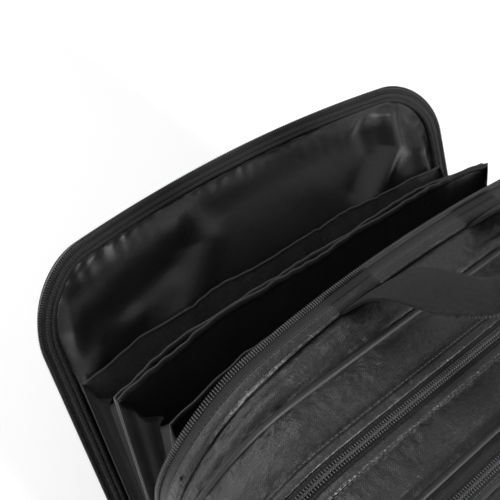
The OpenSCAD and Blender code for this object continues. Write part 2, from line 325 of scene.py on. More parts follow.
def panel_bow(x, h):
    """The panel bows outward the same way, so that the two zipper halves meet."""
    return -MOUTH_BOW * (1 - np.clip(x / PANEL_HW, -1, 1) ** 2) * np.clip(h / PANEL_H, 0, 1) ** 3


def on_body(s, out, y):
    """Points round the body: arc length, distance outward and depth."""
    x, z, nx, nz = BODY.at(s)
    return to_frame(x + nx * out, y, z + nz * out)


def round_panel(s, out, d):
    """Points round the panel's edge: arc length, distance outward and depth."""
    x, h, nx, nh = PANEL.at(s)
    return on_panel(x + nx * out, d + panel_bow(x, h), h + nh * out)


# ---- meshes ----

def new_mesh(name, verts, faces, uv=None, material=None, smooth=True):
    me = bpy.data.meshes.new(name)
    me.from_pydata(np.asarray(verts, float).reshape(-1, 3).tolist(), [],
                   faces if isinstance(faces, list) else faces.tolist())
    if uv is not None:
        layer = me.uv_layers.new(name="UVMap")
        index = np.zeros(len(me.loops), np.int32)
        me.loops.foreach_get("vertex_index", index)
        layer.data.foreach_set("uv", np.asarray(uv, np.float32).reshape(-1, 2)[index].ravel())
    me.polygons.foreach_set("use_smooth", [smooth] * len(me.polygons))
    me.update()
    obj = bpy.data.objects.new(name, me)
    bpy.context.scene.collection.objects.link(obj)
    if material:
        paint(obj, material)
    return obj


def place(obj, body, *nodes):
    """Puts a piece on its body, in place of the CAD nodes named."""
    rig.ride(obj, body)
    if nodes:
        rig.replaces(obj, *nodes)
    return obj


def quads(nu, nv, wrap_u=False, wrap_v=False, base=0):
    iu = np.arange(nu if wrap_u else nu - 1)
    iv = np.arange(nv if wrap_v else nv - 1)
    a, b = np.meshgrid(iu, iv, indexing="ij")
    a2, b2 = (a + 1) % nu, (b + 1) % nv
    f = np.stack([a * nv + b, a2 * nv + b, a2 * nv + b2, a * nv + b2], -1)
    return f.reshape(-1, 4) + base


def spans(P):
    """Lengths along both directions of a grid, in metres, as texture coordinates."""
    du = np.linalg.norm(np.diff(P, axis=0), axis=2).mean(1)
    dv = np.linalg.norm(np.diff(P, axis=1), axis=2).mean(0)
    u = np.concatenate([[0], np.cumsum(du)])
    v = np.concatenate([[0], np.cumsum(dv)])
    return np.stack(np.meshgrid(u, v, indexing="ij"), -1)


def grid_normals(P):
    gu, gv = np.gradient(P, axis=0), np.gradient(P, axis=1)
    n = np.cross(gu, gv)
    return n / np.maximum(np.linalg.norm(n, axis=2, keepdims=True), 1e-12)


def shell(name, P, thick, material, uv=None, flip=False):
    """Closed thin solid on a grid of points. The grid is its outer face; thickness in millimetres goes inward."""
    nu, nv = P.shape[:2]
    uv = spans(P) if uv is None else uv
    n = grid_normals(P)
    if flip:
        n = -n
    inner = P - n * np.broadcast_to(thick, (nu, nv))[..., None] * MM
    k = nu * nv
    outer_f, inner_f = quads(nu, nv), quads(nu, nv, base=k)[:, ::-1]
    rim = []
    i, j = np.arange(nu - 1), np.arange(nv - 1)
    for a, b in (((i + 1) * nv, i * nv), (i * nv + nv - 1, (i + 1) * nv + nv - 1),
                 (j, j + 1), ((nu - 1) * nv + j + 1, (nu - 1) * nv + j)):
        rim.append(np.stack([a, b, b + k, a + k], -1))
    faces = np.concatenate([outer_f, inner_f, *rim])
    if flip:
        faces = faces[:, ::-1]
    verts = np.concatenate([P.reshape(-1, 3), inner.reshape(-1, 3)])
    return new_mesh(name, verts, faces, np.concatenate([uv.reshape(-1, 2)] * 2), material)


def strip(name, surface, s, profile, thick, material, body, *nodes, flip=False):
    """Thin piece along an edge: a profile of (outward, depth) points swept along arc lengths of a surface."""
    P = np.stack([surface(s, out, depth) for out, depth in profile], 1)
    return place(shell(name, P, thick, material, flip=flip), body, *nodes), P


def tube_faces(n, sides):
    """Faces of a closed tube of n rings."""
    return quads(n, sides, wrap_v=True).tolist() + [list(range(sides)), list(range((n - 1) * sides, n * sides))[::-1]]


def solid_tube(name, centre, radius, material, sides=12, up=(0.0, 1.0, 0.0)):
    """Round tube with rounded ends along a line of points in metres; radius in millimetres."""
    centre = np.asarray(centre, float)
    t = unit(np.gradient(centre, axis=0))
    side = unit(np.cross(t, up))
    a = np.linspace(0, 2 * np.pi, sides, endpoint=False)
    r = radius * MM
    ring = (side[:, None] * np.cos(a)[None, :, None] + np.cross(side, t)[:, None] * np.sin(a)[None, :, None]) * r
    cap = ((0.95, 0.3), (0.6, 0.8))
    P = np.concatenate([[centre[0] - t[0] * r * q + ring[0] * w for q, w in cap], centre[:, None] + ring,
                        [centre[-1] + t[-1] * r * q + ring[-1] * w for q, w in cap[::-1]]])
    uv = np.stack(np.broadcast_arrays(lengths(P.mean(1))[:, None], a[None] * r), -1)
    return new_mesh(name, P, tube_faces(len(P), sides), uv, material)


def scatter(name, template, faces, at, along, out, third, material):
    """One mesh of many small copies. template is in millimetres along (along, out, third)."""
    T = np.asarray(template, float) * MM
    V = (at[:, None] + T[None, :, 0:1] * along[:, None] + T[None, :, 1:2] * out[:, None]
         + T[None, :, 2:3] * third[:, None])
    steps = np.arange(len(at))[:, None] * len(T)
    return new_mesh(name, V, [row for f in faces for row in (np.asarray(f)[None] + steps).tolist()], None, material)


def loop_faces(rings, sides):
    """Side faces between rings of a closed loop, as lists."""
    return [[r * sides + i, r * sides + (i + 1) % sides, (r + 1) * sides + (i + 1) % sides, (r + 1) * sides + i]
            for r in range(rings - 1) for i in range(sides)]


def bar_template(length, width, height, sides=8, start=None):
    """Rounded bar along the third axis: width along the first, height along the second."""
    start = -length / 2 if start is None else start
    ends = ((0, 0.55), (0.12, 1), (0.88, 1), (1.0, 0.55))
    a = np.linspace(0, 2 * np.pi, sides, endpoint=False)
    v = [(width / 2 * q * math.cos(b), height / 2 * q * math.sin(b), start + length * c) for c, q in ends for b in a]
    return v, loop_faces(4, sides) + [list(range(sides))[::-1], list(range(3 * sides, 4 * sides))]


def frames_on(surface, s, out, depth):
    """Points and local directions (along, outward, deeper) on a surface function of arc length, outward and depth."""
    e = 0.5
    p = surface(s, out, depth)
    along = unit(surface(s + e, out, depth) - surface(s - e, out, depth))
    third = unit(surface(s, out, depth + e) - surface(s, out, depth - e))
    outward = unit(np.cross(along, third))
    outward *= np.sign((outward * (surface(s, out + e, depth) - p)).sum(1))[:, None]
    return p, along, outward, third


def coil(name, surface, s0, s1, out, depth, reach, body, phase=0.0):
    """Row of coil teeth; reach is (start, end) of a tooth across the edge."""
    s = np.arange(s0 + phase * COIL_PITCH, s1, COIL_PITCH)
    v, f = bar_template(reach[1] - reach[0], 1.15, 2.0, start=reach[0])
    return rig.ride(scatter(name, v, f, *frames_on(surface, s, out, depth), "coil"), body)


def stitches(name, surface, s0, s1, out, depth, body, pitch=3.3, length=2.5, radius=0.26):
    """Row of stitches that lie along an arc-length line."""
    v, f = bar_template(length, 2 * radius, 2 * radius, sides=6)
    p, along, outward, third = frames_on(surface, np.arange(s0, s1, pitch), out, depth)
    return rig.ride(scatter(name, v, f, p, third, outward, along, "thread"), body)


# ---- cloth ----

def smooth_noise(nu, nv, cell_u, cell_v, rng=RNG):
    """Smooth random field on a grid, about -1 to 1."""
    cu, cv = max(int(nu / cell_u) + 3, 4), max(int(nv / cell_v) + 3, 4)
    c = rng.uniform(-1, 1, (cu, cv))
    u, v = np.linspace(0, cu - 1.001, nu), np.linspace(0, cv - 1.001, nv)
    iu, iv = u.astype(int), v.astype(int)
    fu, fv = u - iu, v - iv
    fu, fv = fu * fu * (3 - 2 * fu), fv * fv * (3 - 2 * fv)
    a = c[iu][:, iv] * (1 - fu[:, None]) + c[iu + 1][:, iv] * fu[:, None]
    b = c[iu][:, iv + 1] * (1 - fu[:, None]) + c[iu + 1][:, iv + 1] * fu[:, None]
    return a * (1 - fv[None]) + b * fv[None]


CLOTH = {"quality": 6, "mass": 0.12, "tension_stiffness": 25, "compression_stiffness": 25, "shear_stiffness": 8,
         "tension_damping": 12, "compression_damping": 12, "shear_damping": 8, "air_damping": 3,
         "vertex_group_mass": "pin", "pin_stiffness": 1.0}


def cloth(P, pins, grow, frames, pressure, gravity, bending, jitter=0.3):
    """Simulates a grid of cloth sewn along its pinned points and cut larger than its frame by grow."""
    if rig.quick():
        return P
    nu, nv = P.shape[:2]
    start = P + grid_normals(P) * (RNG.normal(0, jitter, (nu, nv, 1)) * MM) * (1 - pins)[..., None]
    obj = new_mesh("cloth_work", start.reshape(-1, 3), quads(nu, nv))
    rest = spans(P) * np.array(grow)
    obj.shape_key_add(name="Basis")
    key = obj.shape_key_add(name="cut")
    flat = np.concatenate([rest, np.zeros((nu, nv, 1))], -1)
    key.data.foreach_set("co", flat.astype(np.float32).ravel())
    key.value = 0.0
    group = obj.vertex_groups.new(name="pin")
    weight = pins.ravel()
    for i in np.nonzero(weight > 0.01)[0]:
        group.add([int(i)], float(weight[i]), "REPLACE")
    mod = obj.modifiers.new("cloth", "CLOTH")
    for key_name, value in CLOTH.items():
        setattr(mod.settings, key_name, value)
    mod.settings.bending_stiffness = bending
    mod.settings.rest_shape_key = key
    mod.settings.use_pressure = pressure != 0
    mod.settings.uniform_pressure_force = pressure
    mod.settings.effector_weights.gravity = gravity
    mod.collision_settings.use_collision = False
    scene = bpy.context.scene
    mod.point_cache.frame_start = 1
    mod.point_cache.frame_end = frames
    for f in range(1, frames + 1):
        scene.frame_set(f)
    dg = bpy.context.evaluated_depsgraph_get()
    me = obj.evaluated_get(dg).to_mesh()
    co = np.zeros(len(me.vertices) * 3, np.float32)
    me.vertices.foreach_get("co", co)
    obj.evaluated_get(dg).to_mesh_clear()
    mesh = obj.data
    bpy.data.objects.remove(obj)
    bpy.data.meshes.remove(mesh)
    scene.frame_set(1)
    return co.reshape(nu, nv, 3).astype(float)


def limit(P, base, low, high):
    """Keeps a simulated grid within low and high millimetres of its base along the base's normals, softly."""
    n = grid_normals(base)
    off = ((P - base) * n).sum(2, keepdims=True)
    mid, half = (high + low) / 2 * MM, (high - low) / 2 * MM
    soft = mid + half * np.tanh((off - mid) / half)
    return P + n * (soft - off)


# ---- materials ----

def add(nt, kind, inputs, **settings):
    """Adds a shader node. inputs holds values, or sockets to link from, by input."""
    n = nt.nodes.new("ShaderNode" + kind)
    for key, value in settings.items():
        setattr(n, key, value)
    for key, value in inputs.items():
        if hasattr(value, "links"):
            nt.links.new(value, n.inputs[key])
        else:
            n.inputs[key].default_value = value
    return n.outputs


def uv_scaled(nt, sx, sy):
    uv = add(nt, "UVMap", {}, uv_map="UVMap")["UV"]
    return add(nt, "Mapping", {"Vector": uv, "Scale": (sx, sy, 1)})["Vector"]


def wave(nt, vector, direction):
    """Bands one unit of the vector apart."""
    return add(nt, "TexWave", {"Vector": vector, "Scale": 0.31, "Distortion": 0.0}, wave_type="BANDS",
               bands_direction=direction, wave_profile="SIN")["Fac"]


def noise(nt, vector, detail):
    return add(nt, "TexNoise", {"Vector": vector, "Scale": 1.0, "Detail": detail})["Fac"]


def solid_noise(nt, scale, detail):
    """Noise in the piece's own space, scale periods to the metre."""
    place_in = add(nt, "TexCoord", {})["Object"]
    return noise(nt, add(nt, "Mapping", {"Vector": place_in, "Scale": (scale, scale, scale)})["Vector"], detail)


def calc(nt, op, a, b):
    return add(nt, "Math", {0: a, 1: b}, operation=op)[0]


def remap(nt, value, **ends):
    return add(nt, "MapRange", {"Value": value, **{k.replace("_", " "): v for k, v in ends.items()}})["Result"]


def ramp(nt, fac, low, high, c0, c1):
    r = nt.nodes.new("ShaderNodeValToRGB")
    for element, position, color in zip(r.color_ramp.elements, (low, high), (c0, c1)):
        element.position, element.color = position, (*color, 1)
    nt.links.new(fac, r.inputs["Fac"])
    return r.outputs["Color"]


def bump(nt, height, strength, distance, normal=None):
    inputs = {"Strength": strength, "Distance": distance, "Height": height}
    if normal is not None:
        inputs["Normal"] = normal
    return add(nt, "Bump", inputs)["Normal"]


def start_material(name, rough, sheen=0.0, metal=0.0, spec=0.5):
    """New material with the values that are the same all over it; returns a way to link the others."""
    m = bpy.data.materials.new(name)
    m.use_nodes = True
    p = m.node_tree.nodes["Principled BSDF"]
    for key, value in (("Roughness", rough), ("Metallic", metal), ("Specular IOR Level", spec),
                       ("Sheen Weight", sheen), ("Sheen Roughness", 0.4), ("Coat Weight", 0.0)):
        p.inputs[key].default_value = value
    return m, m.node_tree, p


def connect(nt, p, **sockets):
    for key, socket in sockets.items():
        nt.links.new(socket, p.inputs[key.replace("_", " ")])


def woven(name, dark, light, thread, rough, sheen, depth, spec=0.5, crease=0.0, slub=0.0, crinkle=0.0):
    """Plain weave in real size from the piece's own lengths, with uneven threads, slow variation and fine creases."""
    m, nt, p = start_material(name, rough, sheen=sheen, spec=spec)
    vec = uv_scaled(nt, 1.0 / thread, 1.0 / thread)
    weave = calc(nt, "ABSOLUTE", calc(nt, "SUBTRACT", wave(nt, vec, "X"), wave(nt, vec, "Y")), 0.0)
    height = calc(nt, "ADD", weave, calc(nt, "MULTIPLY", solid_noise(nt, 900, 2.0), 0.6))
    normal = bump(nt, height, 0.5, depth)
    slow = solid_noise(nt, 18.0, 3.0)
    tone = calc(nt, "ADD", calc(nt, "MULTIPLY", weave, 0.45), calc(nt, "MULTIPLY", slow, 0.4))
    if slub:
        both = calc(nt, "ADD", noise(nt, uv_scaled(nt, 260, 1500), 2.0), noise(nt, uv_scaled(nt, 1500, 260), 2.0))
        normal = bump(nt, both, 0.6, slub, normal)
        tone = calc(nt, "ADD", tone, calc(nt, "MULTIPLY", calc(nt, "SUBTRACT", both, 1.0), 0.9))
    if crinkle:
        patch = remap(nt, solid_noise(nt, 21, 2.0), From_Min=0.42, From_Max=0.62)
        normal = bump(nt, calc(nt, "MULTIPLY", solid_noise(nt, 210, 3.0), patch), 0.6, crinkle, normal)
    if crease:
        normal = bump(nt, solid_noise(nt, 75, 6.0), 0.5, crease, normal)
    gloss = remap(nt, slow, From_Min=0.3, From_Max=0.7, To_Min=rough - 0.06, To_Max=rough + 0.1)
    connect(nt, p, Normal=normal, Base_Color=ramp(nt, tone, 0.15, 0.75, dark, light), Roughness=gloss)
    return m


def ribbed(name, dark, light, rib, rough, depth, sheen, spec=0.4):
    """Tape with ribs that run across it."""
    m, nt, p = start_material(name, rough, sheen=sheen, spec=spec)
    ribs = wave(nt, uv_scaled(nt, 1.0 / rib, 1.0 / rib), "X")
    fine = calc(nt, "ADD", wave(nt, uv_scaled(nt, 2.2 / rib, 2.2 / rib), "Y"), solid_noise(nt, 1200, 2.0))
    height = calc(nt, "ADD", ribs, calc(nt, "MULTIPLY", fine, 0.35))
    connect(nt, p, Normal=bump(nt, height, 0.7, depth), Base_Color=ramp(nt, height, 0.25, 1.2, dark, light))
    return m


def plain(name, color, rough, metal=0.0, spec=0.5, grain=0.00004, scale=700, wear=None):
    """Moulded, painted or metal finish with fine grain and uneven gloss."""
    m, nt, p = start_material(name, rough, metal=metal, spec=spec)
    slow = solid_noise(nt, scale / 8, 4.0)
    light = wear or tuple(min(1.0, c * 1.5) for c in color)
    gloss = remap(nt, slow, To_Min=max(rough - 0.08, 0.05), To_Max=min(rough + 0.12, 1.0))
    connect(nt, p, Normal=bump(nt, solid_noise(nt, scale, 3.0), 0.4, grain),
            Base_Color=ramp(nt, slow, 0.35, 0.7, color, light), Roughness=gloss)
    return m


def grey(tone, blue):
    """Dark grey with a trace more blue."""
    return tone, tone, blue


MATERIALS = {
    "body": woven("body_fabric", grey(0.006, 0.0063), grey(0.031, 0.0325), 0.0015, 0.36, 0.03, 0.00011, spec=0.6,
                  crease=0.0042, slub=0.00035, crinkle=0.0016),
    "lining": woven("lining", grey(0.014, 0.0147), grey(0.033, 0.0347), 0.0006, 0.31, 0.0, 0.00003, spec=0.7,
                    crease=0.0006, slub=0.00008),
    # pocket: a lighter copy of the lining, painted light on the front sheet deep in the dim file compartment
    "pocket": woven("pocket_fabric", grey(0.032, 0.0336), grey(0.084, 0.088), 0.0006, 0.3, 0.0, 0.00003,
                    crease=0.0018, slub=0.0001, crinkle=0.0012),
    # web: a darker copy of the lining with little gloss, painted shade on the bellows deep between the sheets
    "web": woven("bellows_fabric", grey(0.002, 0.0022), grey(0.0095, 0.01), 0.0006, 0.6, 0.0, 0.00003, spec=0.12,
                 crease=0.0016, slub=0.0001, crinkle=0.0012),
    # hem: a lighter copy of the lining, a painted highlight along the sheets' top and side edges
    "hem": woven("hem_fabric", grey(0.026, 0.0275), grey(0.062, 0.065), 0.0005, 0.4, 0.0, 0.00006, crease=0.0006),
    "webbing": woven("webbing", grey(0.001, 0.0011), grey(0.026, 0.0273), 0.0019, 0.6, 0.02, 0.0008, spec=0.25,
                     slub=0.0003),
    "binding": ribbed("binding", grey(0.004, 0.0043), grey(0.026, 0.0273), 0.0019, 0.5, depth=0.0006, sheen=0.03),
    "tape": ribbed("zip_tape", grey(0.005, 0.0054), grey(0.024, 0.0252), 0.0014, 0.6, depth=0.0005, sheen=0.03),
    "coil": plain("coil", grey(0.032, 0.0336), 0.32, spec=0.6),
    "core": plain("zip_core", grey(0.0015, 0.0016), 0.8, spec=0.1),
    "piping": woven("piping", grey(0.006, 0.0065), grey(0.020, 0.021), 0.0006, 0.5, 0.05, 0.0001),
    "thread": plain("thread", grey(0.034, 0.036), 0.5, grain=0.0001, scale=2500),
    "enamel": plain("slider_enamel", (0.010,) * 3, 0.28, metal=0.35, wear=grey(0.03, 0.032)),
    "metal": plain("black_nickel", grey(0.05, 0.053), 0.24, metal=1.0, wear=grey(0.11, 0.115)),
    "rubber": plain("rubber", (0.014,) * 3, 0.7, grain=0.0002, scale=500),
    "board": plain("board", (0.02,) * 3, 0.6, grain=0.0001, scale=900),
    "broad": woven("broad_fabric", grey(0.006, 0.0063), grey(0.031, 0.0325), 0.0015, 0.36, 0.03, 0.00011, spec=0.6,
                   crease=0.0020, slub=0.00035, crinkle=0.0008),
}
SLOT = {"body": "body_fabric", "broad": "body_fabric", "thread": "body_fabric", "web": "lining", "pocket": "lining",
        "core": "zipper", "tape": "zipper", "coil": "zipper", "hem": "binding", "enamel": "slider_metal"}


def paint(obj, key):
    obj.data.materials.clear()
    obj.data.materials.append(MATERIALS[key])
    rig.slot(obj, SLOT.get(key, key))
    return obj


def cloth_area(P):
    return float(np.linalg.norm(np.cross(P[1:, 1:] - P[:-1, :-1], P[1:, :-1] - P[:-1, 1:]), axis=2).sum() / 2)


def as_sheet(obj, P, held, **more):
    """Declares a grid of cloth as a sheet: its cut size is its own length each way, its area the grid's."""
    long = np.linalg.norm(np.diff(P, axis=0), axis=2).sum(0).max()
    wide = np.linalg.norm(np.diff(P, axis=1), axis=2).sum(1).max()
    area = cloth_area(P)
    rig.sheet(obj, flat=(float(max(wide, area / long * 1.02)), float(long)), held=held, area=area, **more)


# ---- body: bands round the sides and top ----

def ease(t):
    t = np.clip(t, 0, 1)
    return t * t * (3 - 2 * t)


def band(name, y0, y1, profile, body, node, nv=14, step=3.0, sim=None):
    """Padded arched band between two depth lines. profile(v, s) is the outward height in millimetres."""
    leg = BODY.length - 2
    s = np.linspace(-leg, leg, int(2 * leg / step))
    v = np.linspace(0, 1, nv)
    a, b = (y(s) if callable(y) else np.full_like(s, y) for y in (y0, y1))
    y = a[:, None] + (b - a)[:, None] * v[None]
    out = profile(v[None], s[:, None]) * np.ones_like(y)
    P = on_body(s[:, None], out, y)
    if sim:
        P = sim(P)
    obj = place(shell(name, P, 1.6, "body"), body, node)
    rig.padded(obj, fill=0.7)


def gathers(v, s, seed, size=0.9, reach=0.28):
    """Short wrinkles that run into both seams of a band; v is 0 to 1 across it."""
    r = np.random.default_rng(seed)
    total = np.zeros(np.broadcast(v, s).shape)
    for edge in (0.0, 1.0):
        near = np.abs(v - edge)
        trains = sum(np.sin(2 * np.pi * s / pitch + r.uniform(0, 6)
                            + 1.5 * np.sin(s / (pitch * 5) + r.uniform(0, 6))) * r.uniform(0.5, 1)
                     for pitch in (6.1, 8.7, 12.9, 21.0))
        local = 0.5 + 0.5 * np.sin(s / 47.0 + r.uniform(0, 6))
        total = total + trains * local * np.exp(-near / reach) * np.clip(near / 0.06, 0, 1)
    return size * 0.4 * total


def pinned_edges(nu, nv):
    pins = np.zeros((nu, nv))
    pins[[0, -1]] = 1
    pins[:, [0, -1]] = 1
    return pins


def sim_band(low, high, grow, pressure, frames=22, bending=0.5):
    """Simulation of a band that ends within low and high millimetres of its drawn shape."""
    def run(P):
        Q = cloth(P, pinned_edges(*P.shape[:2]), grow, frames, pressure, gravity=0.15, bending=bending)
        return limit(Q, P, low, high)
    return run


def piping(name, y, body, node):
    s = np.linspace(-BODY_LEG, BODY_LEG, 420)
    place(solid_tube(name, on_body(s, 0.6, y), 2.1, "piping"), body, node)


def round_mouth(s, out, y):
    """Points on the body whose depth counts from the bowed edge of the mouth."""
    return on_body(s, out, y - mouth_bow(s))


def build_body():
    seam = lambda s: -mouth_bow(s) + SEAM_1
    leg_zip = BODY.where_height(34)
    puffy = sim_band(-3.5, 4.5, (1.07, 1.13), 0.12, bending=0.12)
    band("mouth_band", lambda s: -mouth_bow(s) + 2.0, seam,
         lambda v, s: 0.3 + 1.6 * np.sin(np.pi * v) - 1.5 * ease((v - 0.8) / 0.2),
         "front_section", "file_gusset", nv=10)
    band("shoulder_ridge", seam, PIPING_FRONT - 0.5,
         lambda v, s: -1.0 + (3.0 + 3.5 * mouth_bow(s) / MOUTH_BOW) * np.sin(np.pi * v) ** 0.8 + gathers(v, s, 8, 0.35),
         "front_section", "shoulder_band", nv=16, sim=sim_band(-2.5, 2.5, (1.03, 1.05), 0.3, frames=14))
    band("main_band_front", PIPING_FRONT + 0.5, ZIP_MAIN - TAPE + 1,
         lambda v, s: 0.2 + 5.0 * np.sin(np.pi * v) ** 0.7 + gathers(v, s, 5),
         "front_section", "main_gusset_front", nv=26, step=2.0, sim=puffy)
    band("main_band_rear", ZIP_MAIN + TAPE - 1, PIPING_REAR - 0.5,
         lambda v, s: 0.2 + 4.5 * np.sin(np.pi * v) ** 0.7 + gathers(v, s, 6),
         "base_section", "main_gusset_rear", nv=24, step=2.0, sim=puffy)
    band("rear_band", PIPING_REAR + 0.5, BACK - 1.0,
         lambda v, s: 0.4 + 1.8 * np.sin(np.pi * v) ** 0.7 + gathers(v, s, 7, 0.5),
         "base_section", "rear_gusset", nv=22, sim=sim_band(-2.0, 2.0, (1.03, 1.06), 0.3, frames=14))
    piping("piping_front_cord", PIPING_FRONT, "front_section", "piping_front")
    piping("piping_rear_cord", PIPING_REAR, "base_section", "piping_rear")
    piping("piping_back_cord", BACK - 0.8, "base_section", "piping_back")
    for k, out, y in ((1, 1.9, 9.6), (2, 1.2, SEAM_1 - 2.4)):
        stitches(f"stitch_mouth_{k}", round_mouth, -leg_zip, leg_zip, out, y, "front_section")
    # front zipper half on the body
    s = np.linspace(-leg_zip, leg_zip, 420)
    profile = [(0.9 + 1.0 * ease(q * 1.4), 0.7 + 8.2 * q) for q in np.linspace(0, 1, 6)]
    strip("mouth_zip_tape", round_mouth, s, profile, 0.5, "tape", "front_section", "front_zip_body")
    coil("mouth_zip_coil", round_mouth, -leg_zip, leg_zip, 1.6, 0.0, (-1.4, 2.4), "front_section")
    # inside of the file compartment
    s = np.linspace(-BODY_LEG, BODY_LEG, 300)
    P = np.stack([on_body(s, -2.6 - 0.6 * math.sin(3.1 * q), (0.8 - mouth_bow(s)) * (1 - q) + 24.5 * q)
                  for q in np.linspace(0, 1, 10)], 1)
    inner = place(shell("file_side_lining", P, 0.6, "lining", flip=True), "front_section")
    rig.sheet(inner, flat=(0.98, 0.04), held="stretched", area=0.0315)


build_body()


# ---- front panel ----

def arch_rows(nv, low, corner, flat, r):
    """Heights and half widths of an arch's rows, closer round its top corners."""
    leg = int(nv * 0.72)
    turn = np.linspace(0, np.pi / 2, nv - leg + 1)[1:]
    return (np.concatenate([np.linspace(low, corner, leg), corner + r * np.sin(turn)]),
            np.concatenate([np.full(leg, flat + r), flat + r * np.cos(turn)]))


def panel_span(nu, nv, inset):
    """Grid over the panel's outline drawn in by inset: x, height and distance from the edge."""
    h, w = arch_rows(nv, inset, PANEL_H - PANEL_R, PANEL_HW - PANEL_R, PANEL_R - inset)
    rf = PANEL_FOOT_R - inset
    drop = np.clip(inset + rf - h, 0, None)
    w = w - rf + np.sqrt(np.clip(rf ** 2 - drop ** 2, 0, None))
    x = np.linspace(-1, 1, nu)[:, None] * w[None]
    bow = PANEL_BOW_H * (1 - (x / PANEL_HW) ** 2)
    hh = h[None] + bow * np.clip(h[None] / PANEL_H, 0, 1) ** 6
    edge = np.minimum(w[None] - np.abs(x), PANEL_H + bow - inset - hh)
    return x, hh, np.clip(edge, 0, None)


def ridge(x, h, points, width, height):
    """A soft fold along a polyline."""
    best = np.full(x.shape, 1e9)
    for (x0, h0), (x1, h1) in zip(points[:-1], points[1:]):
        dx, dh = x1 - x0, h1 - h0
        t = np.clip(((x - x0) * dx + (h - h0) * dh) / (dx * dx + dh * dh), 0, 1)
        best = np.minimum(best, np.hypot(x - x0 - t * dx, h - h0 - t * dh))
    return height * np.exp(-(best / width) ** 2)


# crest lines of the lining's soft folds and their widths; slope sets how steep a flank gets
FOLD_SLOPE = 0.34
LINING_FOLDS = (
    (((72, 304), (58, 272), (88, 232), (118, 206)), 16, 1.0),
    (((84, 290), (130, 284), (184, 268)), 14, 1.0),
    (((96, 264), (134, 254), (168, 242)), 9, -0.8),
    (((190, 290), (186, 250), (180, 200)), 9, 1.0),
    (((138, 246), (166, 244), (190, 226)), 10, 1.3),
    (((-160, 300), (-160, 264), (-124, 232), (-96, 204)), 12, 1.7),
    (((-128, 300), (-128, 268), (-100, 244)), 8, -0.6),
    (((-184, 280), (-190, 246), (-192, 196)), 9, 0.6),
    (((-172, 256), (-196, 248)), 7, 0.5),
    (((-166, 226), (-196, 212)), 8, 0.5),
    (((-60, 262), (-10, 268), (40, 258)), 26, 0.2),
    (((-190, 186), (0, 200), (190, 190)), 62, 0.18),
)


PANEL_BINDING = ((-5.2, -0.9), (-5.3, 0.3), (-6.0, 0.65), (-8.0, 0.6), (-8.8, 0.25), (-9.4, -0.75), (-10.0, 0.25),
                 (-10.8, 0.5), (-12.2, 0.2), (-13.0, -0.8), (-13.2, -2.6))
PANEL_WALL = ((-4.6, -0.6), (-3.6, -2.2), (-3.6, -5.0), (-4.6, -8.0), (-5.6, -10.5), (-6.4, -12.6))


def build_panel_edge():
    """Zipper half, ribbed binding, wall and piping round the panel."""
    body = "front_panel"
    zip_leg = PANEL.where_height(26)
    s = np.linspace(-zip_leg, zip_leg, 460)
    ripple = 0.25 * np.sin(s / 11.0) + 0.2 * np.sin(s / 4.7 + 1)
    P = np.stack([round_panel(s, -1.2 - 7.5 * q, 0.2 - 1.1 * q + ripple * q) for q in np.linspace(0, 1, 6)], 1)
    place(shell("panel_zip_tape", P, 0.5, "tape", flip=True), body, "panel_zip")
    place(solid_tube("panel_zip_core", round_panel(s, -0.25, 0.55), 0.7, "core", sides=8), body)
    v, f = bar_template(3.6, 1.1, 2.1, start=-2.6)
    p, along, outward, third = frames_on(round_panel, np.arange(-zip_leg, zip_leg, COIL_PITCH), 0.0, 0.6)
    place(scatter("panel_zip_coil", v, f, p, along, third, outward, "coil"), body)
    leg = PANEL.length - 40
    s = np.linspace(-leg, leg, 560)
    wob = 0.35 * np.sin(s / 7.3) + 0.3 * np.sin(s / 17.0 + 2)
    P = np.stack([round_panel(s, a - 0.2 * wob, b + wob * 0.5 * (a < -9)) for a, b in PANEL_BINDING], 1)
    place(shell("panel_binding_tape", P, 0.6, "binding", flip=True), body, "panel_binding")
    stitches("panel_stitch", round_panel, -leg, leg, -9.4, 0.05, body, radius=0.4, pitch=3.8, length=2.4)
    s = np.linspace(-PANEL.length, PANEL.length, 620)
    strip("panel_wall", round_panel, s, PANEL_WALL, 1.4, "body", body)
    s = np.linspace(-PANEL.length + 0.5, PANEL.length - 0.5, 560)
    place(solid_tube("panel_piping_cord", round_panel(s, -6.3, -PANEL_D + 1.2), 2.0, "piping"), body, "panel_piping")


def build_panel_face():
    nu, nv = 150, 120
    x, h, edge = panel_span(nu, nv, 7.5)
    puff = 1.4 * ease(edge / 26.0) + 0.35 * smooth_noise(nu, nv, 22, 22)
    seam = 1.1 * np.exp(-((edge - 30.0) / 1.6) ** 2)
    P = on_panel(x, panel_bow(x, h) - PANEL_D - 0.2 - puff + seam, h)
    face = place(shell("panel_face", P, 1.4, "broad", uv=np.stack([x, h], -1) * MM), "front_panel", "panel_shell",
                 "panel_board")
    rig.padded(face, fill=0.5)


def build_panel_lining():
    """Lining cut larger than the panel and gathered into the binding."""
    nu, nv = 170, 130
    x, h, edge = panel_span(nu, nv, 12.4)
    d = -2.2 - (3.2 + 1.2 * x / PANEL_HW) * ease(edge / 34.0)
    side_gather = (0.35 + 0.65 * (x < 0)) * np.sin(h / 2.3 + 1.3 * np.sin(h / 11.0)) * ease((np.abs(x) - 150) / 30)
    top_gather = (0.3 + 0.5 * (x > 120)) * np.sin(x / 2.1 + np.sin(x / 9.0)) * ease((h - 270) / 20)
    pucker = smooth_noise(nu, nv, 3.0, 6) * 0.4 + 0.7 * side_gather + 0.9 * top_gather
    d = d + pucker * np.exp(-edge / 12.0) * np.clip(edge / 3.0, 0, 1)
    for points, width, height in LINING_FOLDS:
        d = d + ridge(x, h, points, width, height * FOLD_SLOPE * width) * ease(edge / 12.0)
    d = d + 0.6 * smooth_noise(nu, nv, 24, 24) * ease(edge / 20.0)
    base = on_panel(x, d + panel_bow(x, h), h)
    Q = cloth(base, pinned_edges(nu, nv), (1.012, 1.012), 14, pressure=-0.03, gravity=0.05, bending=0.4, jitter=0.05)
    Q = limit(Q, base, -1.0, 1.0)
    lining = place(shell("panel_lining_cloth", Q, 0.4, "lining", uv=np.stack([x, h], -1) * MM, flip=True),
                   "front_panel", "panel_lining")
    as_sheet(lining, Q, "stretched")


